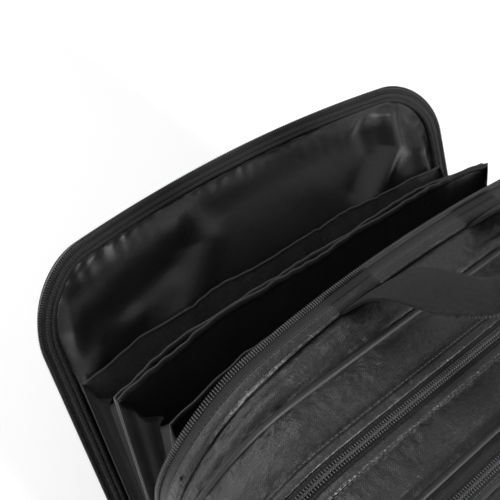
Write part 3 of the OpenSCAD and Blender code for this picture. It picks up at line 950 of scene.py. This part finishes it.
build_panel_edge()
build_panel_face()
build_panel_lining()


# ---- file sheets ----
# lower edge, tilt, height, half width, end curve, end drop, rise of the middle
SHEETS = {
    "front": (3.0, 31.2, 234.0, 200.0, 0.0, 3.0, 8.0),
    "middle": (12.0, 23.0, 262.0, 198.0, 13.0, 12.0, -7.0),
    "rear": (21.0, 12.7, 269.3, 186.0, 9.0, 12.0, 0.0),
}
SLOT_SEAMS = (96.0, -41.0, -112.0)
SHEET_LOW = 5.0


def sheet_height(kind, u):
    _, _, height, _, _, drop, rise = SHEETS[kind]
    return height - drop * u ** 4 + rise * (1 - u ** 2)


def on_sheet(kind, u, h, d):
    y0, tilt, height, hw, curve, _, _ = SHEETS[kind]
    x = hw * u
    return leaning(tilt, y0)(x, d + curve * u ** 2 * np.clip(h / height, 0, 1), h)


def sheet_waves(u, share, seed):
    """Soft waves that grow towards the free top edge."""
    r = np.random.default_rng(seed)
    out = np.zeros(np.broadcast(u, share).shape)
    for k, a in ((1.5, 1.6), (3.1, 1.1), (5.7, 0.6), (11.0, 0.25)):
        out = out + a * np.sin(k * math.pi * u + r.uniform(0, 6) + 0.8 * share) * share ** 1.5
    return out


def edge_wobble(u, seed):
    r = np.random.default_rng(seed + 50)
    return sum(0.8 / k ** 0.5 * np.sin(k * 2.6 * u + r.uniform(0, 6)) for k in (1, 3, 6, 11, 17)) * 0.6


def file_sheet(name, kind, lift, seed, node, top_cut=0.0, amp=1.0):
    nu, nv = 130, 60
    u = np.linspace(-1, 1, nu)[:, None]
    share = np.linspace(0, 1, nv)[None]
    top = sheet_height(kind, u) - top_cut + edge_wobble(u, seed)
    h = SHEET_LOW + (top - SHEET_LOW) * share
    d = lift + amp * sheet_waves(u, share, seed)
    fine = smooth_noise(nu, nv, 3, 9, np.random.default_rng(seed)) * 0.5 * share ** 2
    if kind == "front":
        d = d + 2.6 * np.sin(15 * u + 3.0 * (1 - share)) * share ** 1.2 * ease((u - 0.1) / 0.4)
        x = SHEETS[kind][3] * u
        for seam in SLOT_SEAMS:
            near = np.exp(-((x - seam) / 2.2) ** 2)
            h = h - 2.4 * near * share ** 6
            d = d - 2.0 * near * ease((share - 0.35) / 0.1)
        cell = np.cos(2 * np.pi * (x - SLOT_SEAMS[0]) / (SLOT_SEAMS[0] - SLOT_SEAMS[1]))
        d = d + 1.1 * (1 - cell) * share ** 3
    fine = fine + 0.5 * np.sin(u * 61 + 3 * np.sin(u * 9 + seed)) * np.exp(-(1 - share) * top / 16.0)
    P = on_sheet(kind, u, h, d + fine)
    # The front sheet takes the lighter copy of the lining: painted light inside the dim compartment.
    obj = place(shell(name, P, 0.9, "pocket" if kind == "front" else "lining", flip=True), kind + "_sheet", node)
    x_len, h_len = 2 * SHEETS[kind][3] * MM, SHEETS[kind][2] * MM
    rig.sheet(obj, flat=(x_len * 1.01, h_len * 1.04), held="hung", rests_on=["base_panel"],
             area=float(x_len * np.mean(top - SHEET_LOW) * MM * 1.005))
    return P


def top_binding(name, P, material, tall, wide):
    """Folded tape over the top edge of a sheet's grid."""
    top = P[:, -1]
    down = unit(P[:, -1] - P[:, -4])
    side = np.cross(unit(np.gradient(top, axis=0)), down)
    half = ((-0.5, -tall), (-1, -tall * 0.97), (-1, -tall * 0.5), (-1, -0.8), (-0.55, 0.3))
    loop = (*half, (0, 0.6), *((-a, b) for a, b in half[::-1]))
    R = np.stack([top + side * a * wide * MM + down * b * MM for a, b in loop], 1)
    n, k = R.shape[:2]
    uv = np.stack(np.meshgrid(np.linspace(0, lengths(top)[-1], n), np.linspace(0, 2 * tall * MM, k), indexing="ij"), -1)
    return new_mesh(name, R, tube_faces(n, k), uv, material)


def scatter_line(name, surface, low, high):
    """Vertical row of stitches with a dense bar at its upper end."""
    at = np.concatenate([np.arange(low, high - 8, 3.2), np.arange(high - 8, high, 1.0)])
    p = surface(at)
    along = unit(surface(at + 0.5) - p)
    side = np.broadcast_to(np.array([1.0, 0, 0]), along.shape)
    return scatter(name, *bar_template(2.4, 0.55, 0.55, sides=6), p, side, np.cross(along, side), along, "thread")


def slot_seam(seam):
    """Line of one slot seam up the front sheet, by height."""
    def surface(height):
        share = np.clip(height / 240.0, 0, 1)
        u = np.full_like(height, seam / SHEETS["front"][3])
        return on_sheet("front", u, height, 1.7 + 0.9 * sheet_waves(u, share, 3)
                        - 2.0 * ease((share - 0.35) / 0.1))
    return surface


def build_sheets():
    # Hems take the lighter hem copy of the lining: a painted highlight along the top edges.
    hem = {"material": "hem", "tall": 5.0, "wide": 1.1}
    front = file_sheet("sheet_front_cloth", "front", 0.0, 3, "file_sheet_front", amp=0.9)
    place(top_binding("sheet_front_hem", front, "hem", tall=2.2, wide=0.65), "front_sheet", "file_sheet_front_binding")
    middle = file_sheet("sheet_middle_cloth", "middle", -1.6, 11, "file_sheet_middle", top_cut=1.0)
    pocket = file_sheet("sheet_middle_pocket", "middle", 3.4, 12, "file_sheet_middle_pocket")
    place(top_binding("sheet_middle_hem_front", middle, **hem), "middle_sheet", "file_sheet_middle_binding")
    place(top_binding("sheet_middle_hem_rear", pocket, **hem), "middle_sheet")
    rear = file_sheet("sheet_rear_cloth", "rear", -1.6, 21, "file_sheet_rear", amp=0.6)
    place(top_binding("sheet_rear_hem", rear, "hem", tall=5.0, wide=0.9), "rear_sheet", "file_sheet_rear_binding")
    grids = {"front": front, "middle": pocket, "rear": rear}
    for kind, grid in grids.items():
        # Side edges also take the hem's painted highlight.
        for i, tag, out in ((0, "left", -0.3), (-1, "right", 0.3)):
            edge = grid[i] + np.array([out * MM, 0, 0])
            place(solid_tube(f"sheet_{kind}_edge_{tag}", edge, 0.65, "hem", sides=8), kind + "_sheet")
    for k, seam in enumerate(SLOT_SEAMS):
        place(scatter_line(f"slot_stitch_{k}", slot_seam(seam), 120, 232), "front_sheet")
    return grids


GRIDS = build_sheets()


# ---- side bellows ----

BLEND_AT = 110.0
RIM_X = 203.0
WALL_X = 209.0
SAGS = (28.0, 20.0, 22.0, 10.0)
FOLDS = (28.0, 12.0, 17.0, 9.0)


def blend_line(tilt_a, tilt_b):
    """Points on the two leaning sheets between which a web bends."""
    mid = math.radians((tilt_a + tilt_b) / 2)
    half = math.tan(math.radians(abs(tilt_a - tilt_b) / 2)) * BLEND_AT
    c = np.array([0, HINGE_Y - BLEND_AT * math.sin(mid), HINGE_Z + BLEND_AT * math.cos(mid)])
    normal = np.array([0, math.cos(mid), math.sin(mid)])
    return tuple(to_frame(*(c - normal * half))), tuple(to_frame(*(c + normal * half)))


def bellows_web(name, a, b, sag, fold, seed, nodes):
    """Web between two edges, each its body, its points from low to high and its tilt. sag lowers its middle."""
    (body_a, a_edge, tilt_a), (body_b, b_edge, tilt_b) = a, b
    a_edge, b_edge = resample(a_edge), resample(b_edge)
    tt = np.linspace(0, 1, 28)[None]
    share = np.linspace(0, 1, len(a_edge))[:, None]
    P = a_edge[:, None] * (1 - tt[..., None]) + b_edge[:, None] * tt[..., None]
    r = np.random.default_rng(seed)
    side = np.sign(P[..., 0].mean())
    valley = 0.36 + 0.1 * share
    pleat = np.minimum(tt / valley, (1 - tt) / (1 - valley))
    pleat = pleat - 0.4 * np.abs(np.sin(2.5 * np.pi * tt + r.uniform(0, 3))) * np.sin(np.pi * tt)
    wob = 0.6 * np.sin(9 * share + r.uniform(0, 6)) + 0.5 * np.sin(4 * share + 5 * tt + r.uniform(0, 6))
    P[..., 2] -= sag * MM * np.sin(np.pi * tt) * share ** 3
    P[..., 0] -= side * (fold * pleat * (0.4 + 0.6 * share) + 1.2 * wob * np.sin(np.pi * tt)) * MM
    # The web and its hem take the darker copy of the lining: painted shade in the bellows.
    obj = shell(name, P, 0.7, "web", flip=side < 0)
    hem = place(top_binding(name + "_hem", np.swapaxes(P[-4:], 0, 1), "web", tall=3.6, wide=0.6), body_a)
    hem.parent = None
    for piece in (obj, hem):
        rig.blend(piece, body_a, body_b, *blend_line(tilt_a, tilt_b))
    area = cloth_area(P)
    length = float(np.linalg.norm(a_edge[-1] - a_edge[0]))
    width = max(float(np.linalg.norm(P[-1, -1] - P[-1, 0])) * 1.25, area / length * 1.02)
    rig.sheet(obj, flat=(width, length), held="folded", area=area)
    if nodes:
        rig.replaces(obj, *nodes)


def resample(edge, n=44, low=0.02):
    """n points of an edge line from a share of its length upward."""
    step = lengths(edge)
    want = np.linspace(low * step[-1], step[-1], n)
    return np.stack([np.interp(want, step, edge[:, i]) for i in range(3)], 1)


def build_bellows():
    for side, tag, end, seed in ((1, "right", -1, 41), (-1, "left", 0, 31)):
        rim = on_panel(side * RIM_X, -2.0, np.linspace(3, 236, 60))
        wall = to_frame(side * WALL_X, 13.0, np.linspace(10, 292, 60))
        edges = [("front_panel", rim, TILT + 1.5), ("front_sheet", GRIDS["front"][end], 31.0),
                 ("middle_sheet", GRIDS["middle"][end], 22.8), ("rear_sheet", GRIDS["rear"][end], 12.7),
                 ("front_section", wall, 0.0)]
        for k in range(4):
            nodes = ("file_bellows_" + tag,) if k == 1 else ()
            bellows_web(f"bellows_{tag}_{k + 1}", edges[k], edges[k + 1], SAGS[k], FOLDS[k], seed + k, nodes)


build_bellows()


# ---- zippers on the body ----

def body_zip(name, y, reach_s, bodies, nodes, width=TAPE, sunk=0.6):
    """Both halves of a closed coil zipper round the body or along its top."""
    s0, s1 = -reach_s, reach_s
    s = np.linspace(s0, s1, max(int((s1 - s0) / 3), 40))
    halves = (("front", -1, (-2.7, 0.9), 0.0), ("rear", 1, (-0.9, 2.7), 0.5))
    for (tag, sign, reach, phase), body, cad in zip(halves, bodies, nodes):
        profile = [(sunk + 0.35 * math.sin(3 * a), y + sign * (0.4 + (width - 0.4) * a)) for a in np.linspace(0, 1, 6)]
        strip(f"{name}_tape_{tag}", on_body, s, profile, 0.5, "tape", body, *cad, flip=sign < 0)
        coil(f"{name}_coil_{tag}", on_body, s0, s1, sunk + 1.1, y, reach, body, phase)
        stitches(f"{name}_stitch_{tag}_1", on_body, s0, s1, sunk + 0.25, y + sign * 4.4, body)
        if width >= 9:
            stitches(f"{name}_stitch_{tag}_2", on_body, s0, s1, sunk + 1.7, y + sign * (width + 1.4), body)


def zip_flap(name, y, sign, body):
    """Turned edge of the fabric beside a zipper tape."""
    turn = ((-5.0, 0.9), (-5.3, 1.5), (-4.4, 2.1), (-1.0, 2.3), (0.6, 1.6))
    profile = [(out, y + sign * (TAPE + a)) for a, out in turn]
    strip(name, on_body, np.linspace(-BODY_LEG, BODY_LEG, 380), profile, 0.8, "body", body, flip=sign < 0)


def build_zips():
    body_zip("main_zip", ZIP_MAIN, BODY.where_height(58), ("front_section", "base_section"),
             (["main_zip_front"], ["main_zip_rear"]))
    zip_flap("main_zip_edge_front", ZIP_MAIN, -1, "front_section")
    zip_flap("main_zip_edge_rear", ZIP_MAIN, 1, "base_section")
    body_zip("rear_zip", ZIP_REAR, 150, ("base_section", "base_section"), (["rear_zip"], []), width=8.5, sunk=2.2)


build_zips()


# ---- handles ----

HANDLE_PROFILE = ((2, 318), (0, 322), (3, 331), (6, 337), (11, 348), (16, 358), (23, 367), (32, 375), (43, 382),
                  (55, 389), (72, 400), (96, 413))
REAR_PROFILE = ((146, 331), (150, 330), (153.0, 324), (153.8, 312), (153.6, 290), (153.9, 260), (154.2, 225),
                (154.0, 190))
WEB_W = 38.0
ROOT_X = 62.0


def smooth_line(points, n=240):
    """Rounded line through points, evenly spaced, and its arc length."""
    p = np.asarray(points, float)
    step = lengths(p)
    fine = np.linspace(0, step[-1], n)
    q = np.stack([np.interp(fine, step, c) for c in p.T], 1)
    for _ in range(60):
        q[1:-1] = 0.5 * q[1:-1] + 0.25 * (q[:-2] + q[2:])
    return q, lengths(q)


def webbing_handle(name, profile, body):
    """Flat webbing loop, folded together at its grip: a U path across (x, slope) laid over a side profile."""
    side, slope = smooth_line(profile)
    total = slope[-1]
    r, top = 30.0, total - WEB_W / 2
    path = join(line(ROOT_X, 0, ROOT_X, top - r, 70), arc(ROOT_X - r, top - r, r, 0, 90, 30),
                line(ROOT_X - r, top, r - ROOT_X, top, 50), arc(r - ROOT_X, top - r, r, 90, 180, 30),
                line(-ROOT_X, top - r, -ROOT_X, 0, 70))
    step = lengths(path)
    s = np.linspace(0, step[-1], 260)
    c = np.stack([np.interp(s, step, a) for a in path.T], 1)
    t = unit(np.gradient(c, axis=0))
    fold = ease((62.0 - np.abs(s - step[-1] / 2)) / 26.0)[:, None]
    q = np.linspace(-1, 1, 21)[None]
    reach = WEB_W / 2 * (1 - 0.42 * fold) * q
    X = c[:, :1] + t[:, 1:] * reach
    V = np.clip(c[:, 1:] - t[:, :1] * reach, 0, total - 0.2)
    tangent = unit(np.gradient(side, axis=0))
    y, z, ny, nz = (np.interp(V, slope, a) for a in (*side.T, -tangent[:, 1], tangent[:, 0]))
    bulge = np.sqrt(np.clip(1 - (q * 0.98) ** 2, 0, 1))
    curl = 0.9 * (1 - q ** 2) + fold * 3.6 * bulge
    P = to_frame(X, y + ny * curl, z + nz * curl)
    uv = np.stack([X + V, X - V], -1) * MM * 0.7
    place(shell(name, P, 1.7 + fold * 6.4 * bulge, "webbing", uv=uv), body, body)
    normals = grid_normals(P)

    def surface(along, out, across):
        """Points on the strap: length along, height above, distance from its middle."""
        g = np.interp(along, s, np.arange(len(s)))
        k = np.clip((across / (WEB_W / 2) + 1) * 10, 0, 20)
        i, j = np.clip(g.astype(int), 0, len(s) - 2), int(np.clip(k, 0, 19))
        a, b = (g - i)[:, None], k - j
        base = (P[i, j] * (1 - a) + P[i + 1, j] * a) * (1 - b) + (P[i, j + 1] * (1 - a) + P[i + 1, j + 1] * a) * b
        return base + normals[i, j] * out * MM

    for k, off in ((1, 16.6), (2, -16.6)):
        stitches(f"{name}_stitch_{k}", surface, 3, step[-1] - 3, 0.15, off, body)


webbing_handle("front_handle_webbing", HANDLE_PROFILE, "front_handle")
webbing_handle("rear_handle_webbing", REAR_PROFILE, "rear_handle")


# ---- walls, back, base ----

def arch_span(nu, nv, inset, low):
    """Grid over the body's arched outline drawn in by inset: x, height and distance from the edge."""
    z, w = arch_rows(nv, low, TOP - CORNER, HALF_W - CORNER, CORNER - inset)
    dip = np.clip(low + FOOT_CORNER - z, 0, FOOT_CORNER)
    w = w - (FOOT_CORNER - np.sqrt(FOOT_CORNER ** 2 - dip ** 2))
    x = np.linspace(-1, 1, nu)[:, None] * w
    edge = np.minimum(w - np.abs(x), z.max() - z)
    return x, z - SHOULDER_DROP * (x / HALF_W) ** 4 * (z / TOP) ** 2, np.clip(edge, 0, None)


def fabric_wall(name, y, body, node):
    """Cloth wall stretched across the body."""
    inset = 3.2
    x, z, edge = arch_span(110, 100, inset, SHELL_BOTTOM + 3.0)
    waves = smooth_noise(110, 100, 14, 14) * 1.2 * ease(edge / 30)
    wall = place(shell(name, to_frame(x, y - waves, z), 1.0, "lining", uv=np.stack([x, z], -1) * MM), body, node)
    flat = (2 * (HALF_W - inset) * MM, (TOP - 12) * MM)
    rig.sheet(wall, flat=flat, held="stretched", area=flat[0] * flat[1] * 0.985)


def build_walls():
    fabric_wall("file_back_cloth", 24.6, "front_section", "file_back_wall")
    fabric_wall("divider_cloth", PIPING_REAR - 3.0, "base_section", "divider_wall")
    # padded back face with a quilting seam round it
    x, z, edge = arch_span(130, 120, 1.6, SHELL_BOTTOM + 2.0)
    puff = 1.8 * ease(edge / 24.0) - 1.4 * np.exp(-((edge - 26.0) / 1.8) ** 2)
    puff = puff + 0.4 * smooth_noise(130, 120, 18, 18) * ease(edge / 12)
    P = to_frame(x, BACK - 1.2 + puff, z)
    back = shell("back_face", P, 2.2, "broad", uv=np.stack([x, z], -1) * MM, flip=True)
    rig.padded(place(back, "base_section", "back_panel"), fill=0.5)


def build_sleeve():
    """Strap panel across the back, open at top and bottom, sewn down at its sides."""
    lo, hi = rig.box("trolley_sleeve")
    hw = hi.x / MM - 1
    z = np.linspace(lo.z / MM + 1, hi.z / MM - 1, 50)
    u = np.linspace(-1, 1, 90)[:, None]
    bulge = 8.2 * np.clip((1 - np.abs(u)) / 0.12, 0, 1) ** 0.6
    P = to_frame(hw * u, BACK + 1.4 + bulge + 0.4 * np.sin(9 * u) + 0.3 * smooth_noise(90, 50, 12, 12), z[None])
    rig.padded(place(shell("sleeve_face", P, 1.4, "broad", flip=True), "base_section", "trolley_sleeve"), fill=0.3)
    for tag, row in (("top", -1), ("bottom", 0)):
        centre = P[:, row] - np.array([0, 0.7 * MM, 0])
        place(solid_tube(f"sleeve_hem_{tag}", centre, 1.5, "binding", up=(0, 0, 1)), "base_section")
    for side, tag in ((-1, "left"), (1, "right")):
        def surface(s, out, depth, side=side):
            return to_frame(side * (hw - 3.2 + depth), BACK + 4.1 + out, s)
        stitches(f"sleeve_stitch_{tag}", surface, z[0] + 3, z[-1] - 3, 0, 0, "base_section")


def rounded_box(name, lo, hi, radius, material):
    """Box with rounded edges, millimetres in mouth coordinates."""
    lo, hi = np.asarray(lo, float), np.asarray(hi, float)
    bm = bmesh.new()
    bmesh.ops.create_cube(bm, size=1.0)
    for v in bm.verts:
        v.co = to_frame(*((np.array(v.co) + 0.5) * (hi - lo) + lo))
    bmesh.ops.bevel(bm, geom=bm.edges[:], offset=radius * MM, segments=3, profile=0.5, affect="EDGES")
    bm.verts.index_update()
    verts = np.array([v.co for v in bm.verts])
    faces = [[v.index for v in f.verts] for f in bm.faces]
    bm.free()
    return new_mesh(name, verts, faces, verts[:, :2] + verts[:, 2:] * (0.3, 0.7), material)


def build_base():
    place(rounded_box("base_face", (-206, 3, 4.0), (206, BACK - 1.5, 7.0), 1.4, "body"), "base_section", "base_panel")
    for k, y in enumerate((9.0, BACK - 8.0)):
        def surface(s, out, depth, y=y):
            return to_frame(s, y + depth, 4.0 - out)
        stitches(f"base_stitch_{k}", surface, -196, 196, 0.0, 0.0, "base_section")


FOOT_R = 10.0
FOOT_PROFILE = ((0.05, 0.0), (6.8, 0.0), (7.8, 0.35), (9.4, 1.9), (FOOT_R, 2.5), (FOOT_R, 3.95), (0.05, 3.95))


def build_feet():
    """Turned studs with a chamfered sole."""
    lo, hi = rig.box("base_feet")
    foot_x = (hi.x - lo.x) / 2 / MM - FOOT_R
    foot_y = ((lo.y - MOUTH_Y) / MM + FOOT_R, (hi.y - MOUTH_Y) / MM - FOOT_R)
    r, z = np.array(FOOT_PROFILE).T[..., None]
    n, sides = len(FOOT_PROFILE), 40
    a = np.linspace(0, 2 * np.pi, sides, endpoint=False)[None]
    faces = quads(n, sides, wrap_v=True)[:, ::-1].tolist()
    faces += [list(range(sides))[::-1], list(range((n - 1) * sides, n * sides))]
    feet = new_mesh("feet_studs", *merged([
        (to_frame(x + r * np.cos(a), y + r * np.sin(a), z).reshape(-1, 3).tolist(), faces)
        for x in (-foot_x, foot_x) for y in foot_y]), None, "rubber")
    feet.modifiers.new("split", "EDGE_SPLIT").split_angle = 0.6
    place(feet, "base_section", "base_feet")


def floor_cloth(name, half, rows, ripple, thick, material, held, flip=False, **more):
    """Cloth along the foot of the mouth: rows of (depth, height) with a ripple of (size, length)."""
    x = np.linspace(-1, 1, 120) * half
    P = np.stack([to_frame(x, y, z + ripple[0] * np.sin(x / ripple[1])) for y, z in rows], 1)
    as_sheet(place(shell(name, P, thick, material, flip=flip), "front_section"), P, held, **more)


def build_skirts():
    """Fabric that bends where the main compartment opens, and cloth where the panel hangs."""
    low = BODY.where_height(60)
    half = TAPE - 2
    v = np.linspace(0, 1, 26)[None]
    for side, tag in ((1, "right"), (-1, "left")):
        x, z, nx, nz = (c[:, None] for c in BODY.at(side * np.linspace(low - 6, BODY.length - 1, 90)))
        out = 1.4 - 0.9 * np.sin(np.pi * v)
        P = to_frame(x + nx * out, ZIP_MAIN - half + 2 * half * v, z + nz * out)
        obj = shell(f"gusset_end_{tag}", P, 1.0, "body", flip=side < 0)
        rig.blend(obj, "front_section", "base_section", tuple(to_frame(0, ZIP_MAIN - TAPE + 3, 30)),
                 tuple(to_frame(0, ZIP_MAIN + TAPE - 3, 30)))
        as_sheet(obj, P, "stretched")
    floor_cloth("panel_hinge_cloth", PANEL_HW - PANEL_FOOT_R - 4,
                ((2.0, 9.0), (-1.5, 8.4), (-5.0, 8.6), (-8.0, 10.2), (-10.0, 12.4), (-11.6, 15.5)),
                (0.4, 21), 1.0, "body", "stretched")
    floor_cloth("file_floor_cloth", HALF_W - 9, ((0.6, 12.0), (6.0, 10.9), (14.0, 10.7), (24.0, 11.6)),
                (0.3, 13), 1.2, "lining", "laid", flip=True, rests_on=["base_panel"])


# ---- strap rings ----

RING_Z = 262.0
RING_BAR = 2.5
RING_HW = 17.0
PIN_X = HALF_W + 3.1
TAB_X = HALF_W + 0.6


def ring_line():
    """Depths and heights along a ring's bar: a straight side and a half circle, rounded where they meet."""
    loop = [(t, 0) for t in np.linspace(-RING_HW, RING_HW, 16)] + [(RING_HW, t) for t in np.linspace(-2, -10, 6)]
    loop += [(RING_HW * math.cos(q), -10 - RING_HW * math.sin(q)) for q in np.radians(np.linspace(0, 180, 40))[1:]]
    loop = np.array(loop + [(-RING_HW, t) for t in np.linspace(-9, -1.5, 6)])
    for _ in range(2):
        loop = 0.5 * loop + 0.25 * (np.roll(loop, 1, 0) + np.roll(loop, -1, 0))
    return loop.T


def tab_line():
    """Side view of the webbing that holds a ring, folded over its bar: (x, height)."""
    r = RING_BAR + 0.5
    fold = [(TAB_X + 0.2, t) for t in np.linspace(36, 5, 12)]
    fold += [(PIN_X - r * math.cos(q), -r * math.sin(q)) for q in np.radians(np.linspace(0, 180, 20))]
    fold = np.array(fold + [(TAB_X + 2.9 - 0.6 * t, 5 + 31 * t) for t in np.linspace(0, 1, 14)])
    fold[:, 0] = np.maximum(fold[:, 0], TAB_X + 0.1)
    return fold


def build_rings():
    lo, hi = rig.box("ring_tab_right")
    ring_y = ((lo.y + hi.y) / 2 - MOUTH_Y) / MM
    tab_hw = (hi.y - lo.y) / 2 / MM - 0.2
    y, z = ring_line()
    fold = tab_line()
    nx = np.array([1.0, 0, 0])
    c = np.linspace(0, 2 * np.pi, 14, endpoint=False)[None, :, None]
    e = tab_hw - 2.8
    corner = np.array([(-e, 14), (e, 14), (e, 32), (-e, 32), (-e, 14), (e, 32)])
    s = np.arange(1.5, 100, 3.3)
    for side, tag in ((-1, "left"), (1, "right")):
        P = to_frame(side * PIN_X, ring_y + y, RING_Z + z)
        b = np.cross(unit(np.roll(P, -1, 0) - np.roll(P, 1, 0)), nx)[:, None]
        R = P[:, None] + (nx * np.cos(c) + b * np.sin(c)) * (RING_BAR - 0.1) * MM
        ring = new_mesh("d_ring_" + tag, R, quads(len(P), c.size, wrap_u=True, wrap_v=True), None, "metal")
        place(ring, "strap_ring_" + tag, "strap_ring_" + tag)
        P = to_frame(side * fold[:, :1], ring_y + np.linspace(-tab_hw, tab_hw, 20)[None], RING_Z + fold[:, 1:])
        tab = shell("ring_webbing_" + tag, P, 1.1, "webbing", flip=side > 0)
        place(tab, "base_section", "ring_tab_" + tag)

        def seam(at, side=side):
            across, up = (np.interp(at, lengths(corner), a) for a in corner.T)
            return to_frame(side * (TAB_X + 3.1), ring_y + across, RING_Z + up)

        along = seam(s + 0.4) - seam(s - 0.4)
        along = along / np.maximum(np.linalg.norm(along, axis=1)[:, None], 1e-9)
        outward = np.broadcast_to(np.array([side, 0.0, 0.0]), along.shape)
        place(scatter("ring_stitch_" + tag, *bar_template(2.4, 0.5, 0.5, sides=6), seam(s), np.cross(outward, along),
                      outward, along, "thread"), "base_section")


# ---- sliders and pulls ----

def prism(outline, z0, z1, bevel):
    """Vertices and faces of a plate with softened top and bottom edges."""
    o = np.asarray(outline, float)
    c = o.mean(0)
    size = np.linalg.norm(o - c, axis=1, keepdims=True)
    inner = c + (o - c) * (1 - bevel / np.maximum(size, bevel * 2))
    n = len(o)
    v = [(x, y, z) for ring, z in ((inner, z0), (o, z0 + bevel), (o, z1 - bevel), (inner, z1)) for x, y in ring]
    return v, loop_faces(4, n) + [list(range(n))[::-1], list(range(3 * n, 4 * n))]


def merged(parts):
    verts, faces = [], []
    for v, f in parts:
        base = len(verts)
        verts += list(v)
        faces += [[i + base for i in q] for q in f]
    return verts, faces


def slider_shape():
    """Wedge plate with a loop over it for the pull."""
    nose = [(3 + 4.4 * math.cos(q), 4.4 * math.sin(q)) for q in np.radians(np.linspace(-70, 70, 15))]
    tail = [(1, 3.6), (-3, 3.4), (-5.6, 2.6), (-6.0, 2.0)]
    plate = prism([(x, -y) for x, y in tail[::-1]] + nose + tail, 0.0, 1.6, 0.35)
    n, v = 14, []
    for q in np.linspace(0, math.pi, n):
        x, z = -3.9 * math.cos(q), 1.2 + 3.3 * abs(math.sin(q)) ** 0.55
        v += [(x, a, z + b) for a, b in ((-1.0, -0.45), (1.0, -0.45), (1.0, 0.45), (-1.0, 0.45))]
    sides = [[i * 4 + j, (i + 1) * 4 + j, (i + 1) * 4 + (j + 1) % 4, i * 4 + (j + 1) % 4]
             for i in range(n - 1) for j in range(4)]
    return merged([plate, (v, sides + [[0, 1, 2, 3], [(n - 1) * 4 + j for j in (3, 2, 1, 0)]])])


def pull_shape():
    """Pin, two arms and a ribbed grip."""
    z, n = 2.9, 12
    pin = [(0.6 * math.cos(q), y, z + 0.6 * math.sin(q)) for y in (-2.9, 2.9)
           for q in np.linspace(0, 2 * np.pi, n, endpoint=False)]
    pin = (pin, loop_faces(2, n) + [list(range(n))[::-1], list(range(n, 2 * n))])
    arms = [prism([(-6.4, y - 0.65), (0, y - 0.65), (0.4, y), (0, y + 0.65), (-6.4, y + 0.65)], z - 0.6, z + 0.6, 0.15)
            for y in (-2.3, 2.3)]
    tip = [(-25 + 3 * math.cos(q), 3 * math.sin(q)) for q in np.radians(np.linspace(90, 270, 19))]
    grip = [(-6, -2.6), (-6, 2.6), (-9, 2.5), (-20, 3.0), *tip, (-20, -3.0), (-9, -2.5)]
    plate = prism(grip[::-1], z - 0.62, z + 0.62, 0.25)
    ribs = [prism([(x - 0.45, -1.9), (x + 0.45, -1.9), (x + 0.45, 1.9), (x - 0.45, 1.9)], z + 0.55, z + 0.95, 0.12)
            for x in (-23.5, -21.5, -19.5, -17.5, -15.5)]
    return merged([pin, *arms, plate, *ribs])


def place_metal(name, shape, origin, *axes):
    """A metal part on its own body: its shape in millimetres along three directions."""
    axes = np.array(axes)
    obj = new_mesh(name + "_metal", to_frame(*(origin + np.asarray(shape[0], float) @ axes).T), shape[1], None,
                   "enamel", smooth=False)
    if np.linalg.det(axes) < 0:
        obj.data.flip_normals()
    place(obj, name, name)


SLIDER_TOP = 332.3
SLIDER_SIDE = 217.3


def build_sliders():
    ex, ey, ez = np.eye(3)
    spots = [("main_{}_a", (-88, ZIP_MAIN, SLIDER_TOP), -ex, ey, ez),
             ("main_{}_b", (-104, ZIP_MAIN, SLIDER_TOP), ex, ey, ez),
             ("rear_{}", (-138, ZIP_REAR, SLIDER_TOP), -ex, ey, ez)]
    spots += [("front_{}_" + tag, (side * SLIDER_SIDE, 1.8, 62.0), ez, -side * ey, side * ex)
              for side, tag in ((-1, "left"), (1, "right"))]
    for name, *spot in spots:
        for kind, shape in (("slider", slider_shape()), ("pull", pull_shape())):
            place_metal(name.format(kind), shape, *spot)


build_walls()
build_sleeve()
build_base()
build_feet()
build_skirts()
build_rings()
build_sliders()


def finish_scene():
    """Gives the CAD nodes that are still drawn a material of this scene."""
    slots = {s["node"]: s["material_slot"] for s in frame["record"]["subparts"]}
    keys = {"body_fabric": "body", "zipper": "tape", "slider_metal": "enamel"}
    for name, obj in frame["nodes"].items():
        if not obj.hide_render:
            obj.data.materials.clear()
            obj.data.materials.append(MATERIALS[keys.get(slots[name], slots[name])])


# ---- studio ----

def studio():
    bpy.ops.mesh.primitive_plane_add(size=12, location=(0, 0, 0))
    floor = bpy.context.object
    floor.name = "floor"
    m, _, p = start_material("floor_paper", 0.8, spec=0.2)
    p.inputs["Base Color"].default_value = (0.9, 0.9, 0.9, 1)
    p.inputs["Emission Color"].default_value = (1, 1, 1, 1)
    p.inputs["Emission Strength"].default_value = 0.3
    floor.data.materials.append(m)
    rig.stage(floor)
    world = bpy.data.worlds.new("studio")
    world.use_nodes = True
    world.node_tree.nodes["Background"].inputs["Color"].default_value = (1, 1, 1, 1)
    world.node_tree.nodes["Background"].inputs["Strength"].default_value = 0.42
    bpy.context.scene.world = world
    for name, loc, aim, size, power in (
            ("behind", (-0.12, 1.55, 0.80), (0, 0, 0.25), (0.5, 0.5), 36),
            ("side", (1.7, -0.9, 1.1), (0, 0, 0.2), (1.1, 0.9), 14),
            ("over", (0.30, -0.95, 1.95), (0, 0, 0.2), (0.8, 0.55), 10)):
        data = bpy.data.lights.new(name, "AREA")
        data.shape = "RECTANGLE"
        data.size, data.size_y = size
        data.energy = power
        lamp = bpy.data.objects.new(name, data)
        lamp.location = loc
        lamp.rotation_euler = (Vector(aim) - Vector(loc)).to_track_quat("-Z", "Y").to_euler()
        bpy.context.scene.collection.objects.link(lamp)
        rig.stage(lamp)


def camera():
    data = bpy.data.cameras.new("camera")
    data.lens = 55.035
    data.sensor_width = 36
    cam = bpy.data.objects.new("camera", data)
    cam.location = to_frame(325.45, 155.98, 699.97)
    cam.rotation_euler = Euler([math.radians(a) for a in (41.050, -4.949, 139.847)], "XYZ")
    data.clip_start, data.clip_end = 0.01, 50
    bpy.context.scene.collection.objects.link(cam)
    bpy.context.scene.camera = cam


studio()
camera()
bpy.context.scene.view_settings.view_transform = "Standard"
finish_scene()


def corners(b):
    return [list(b[0]), list(b[1])]


with open("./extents.json", "w") as f:
    json.dump({"start": corners(START_BOUNDS), "end": corners(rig.bounds())}, f)
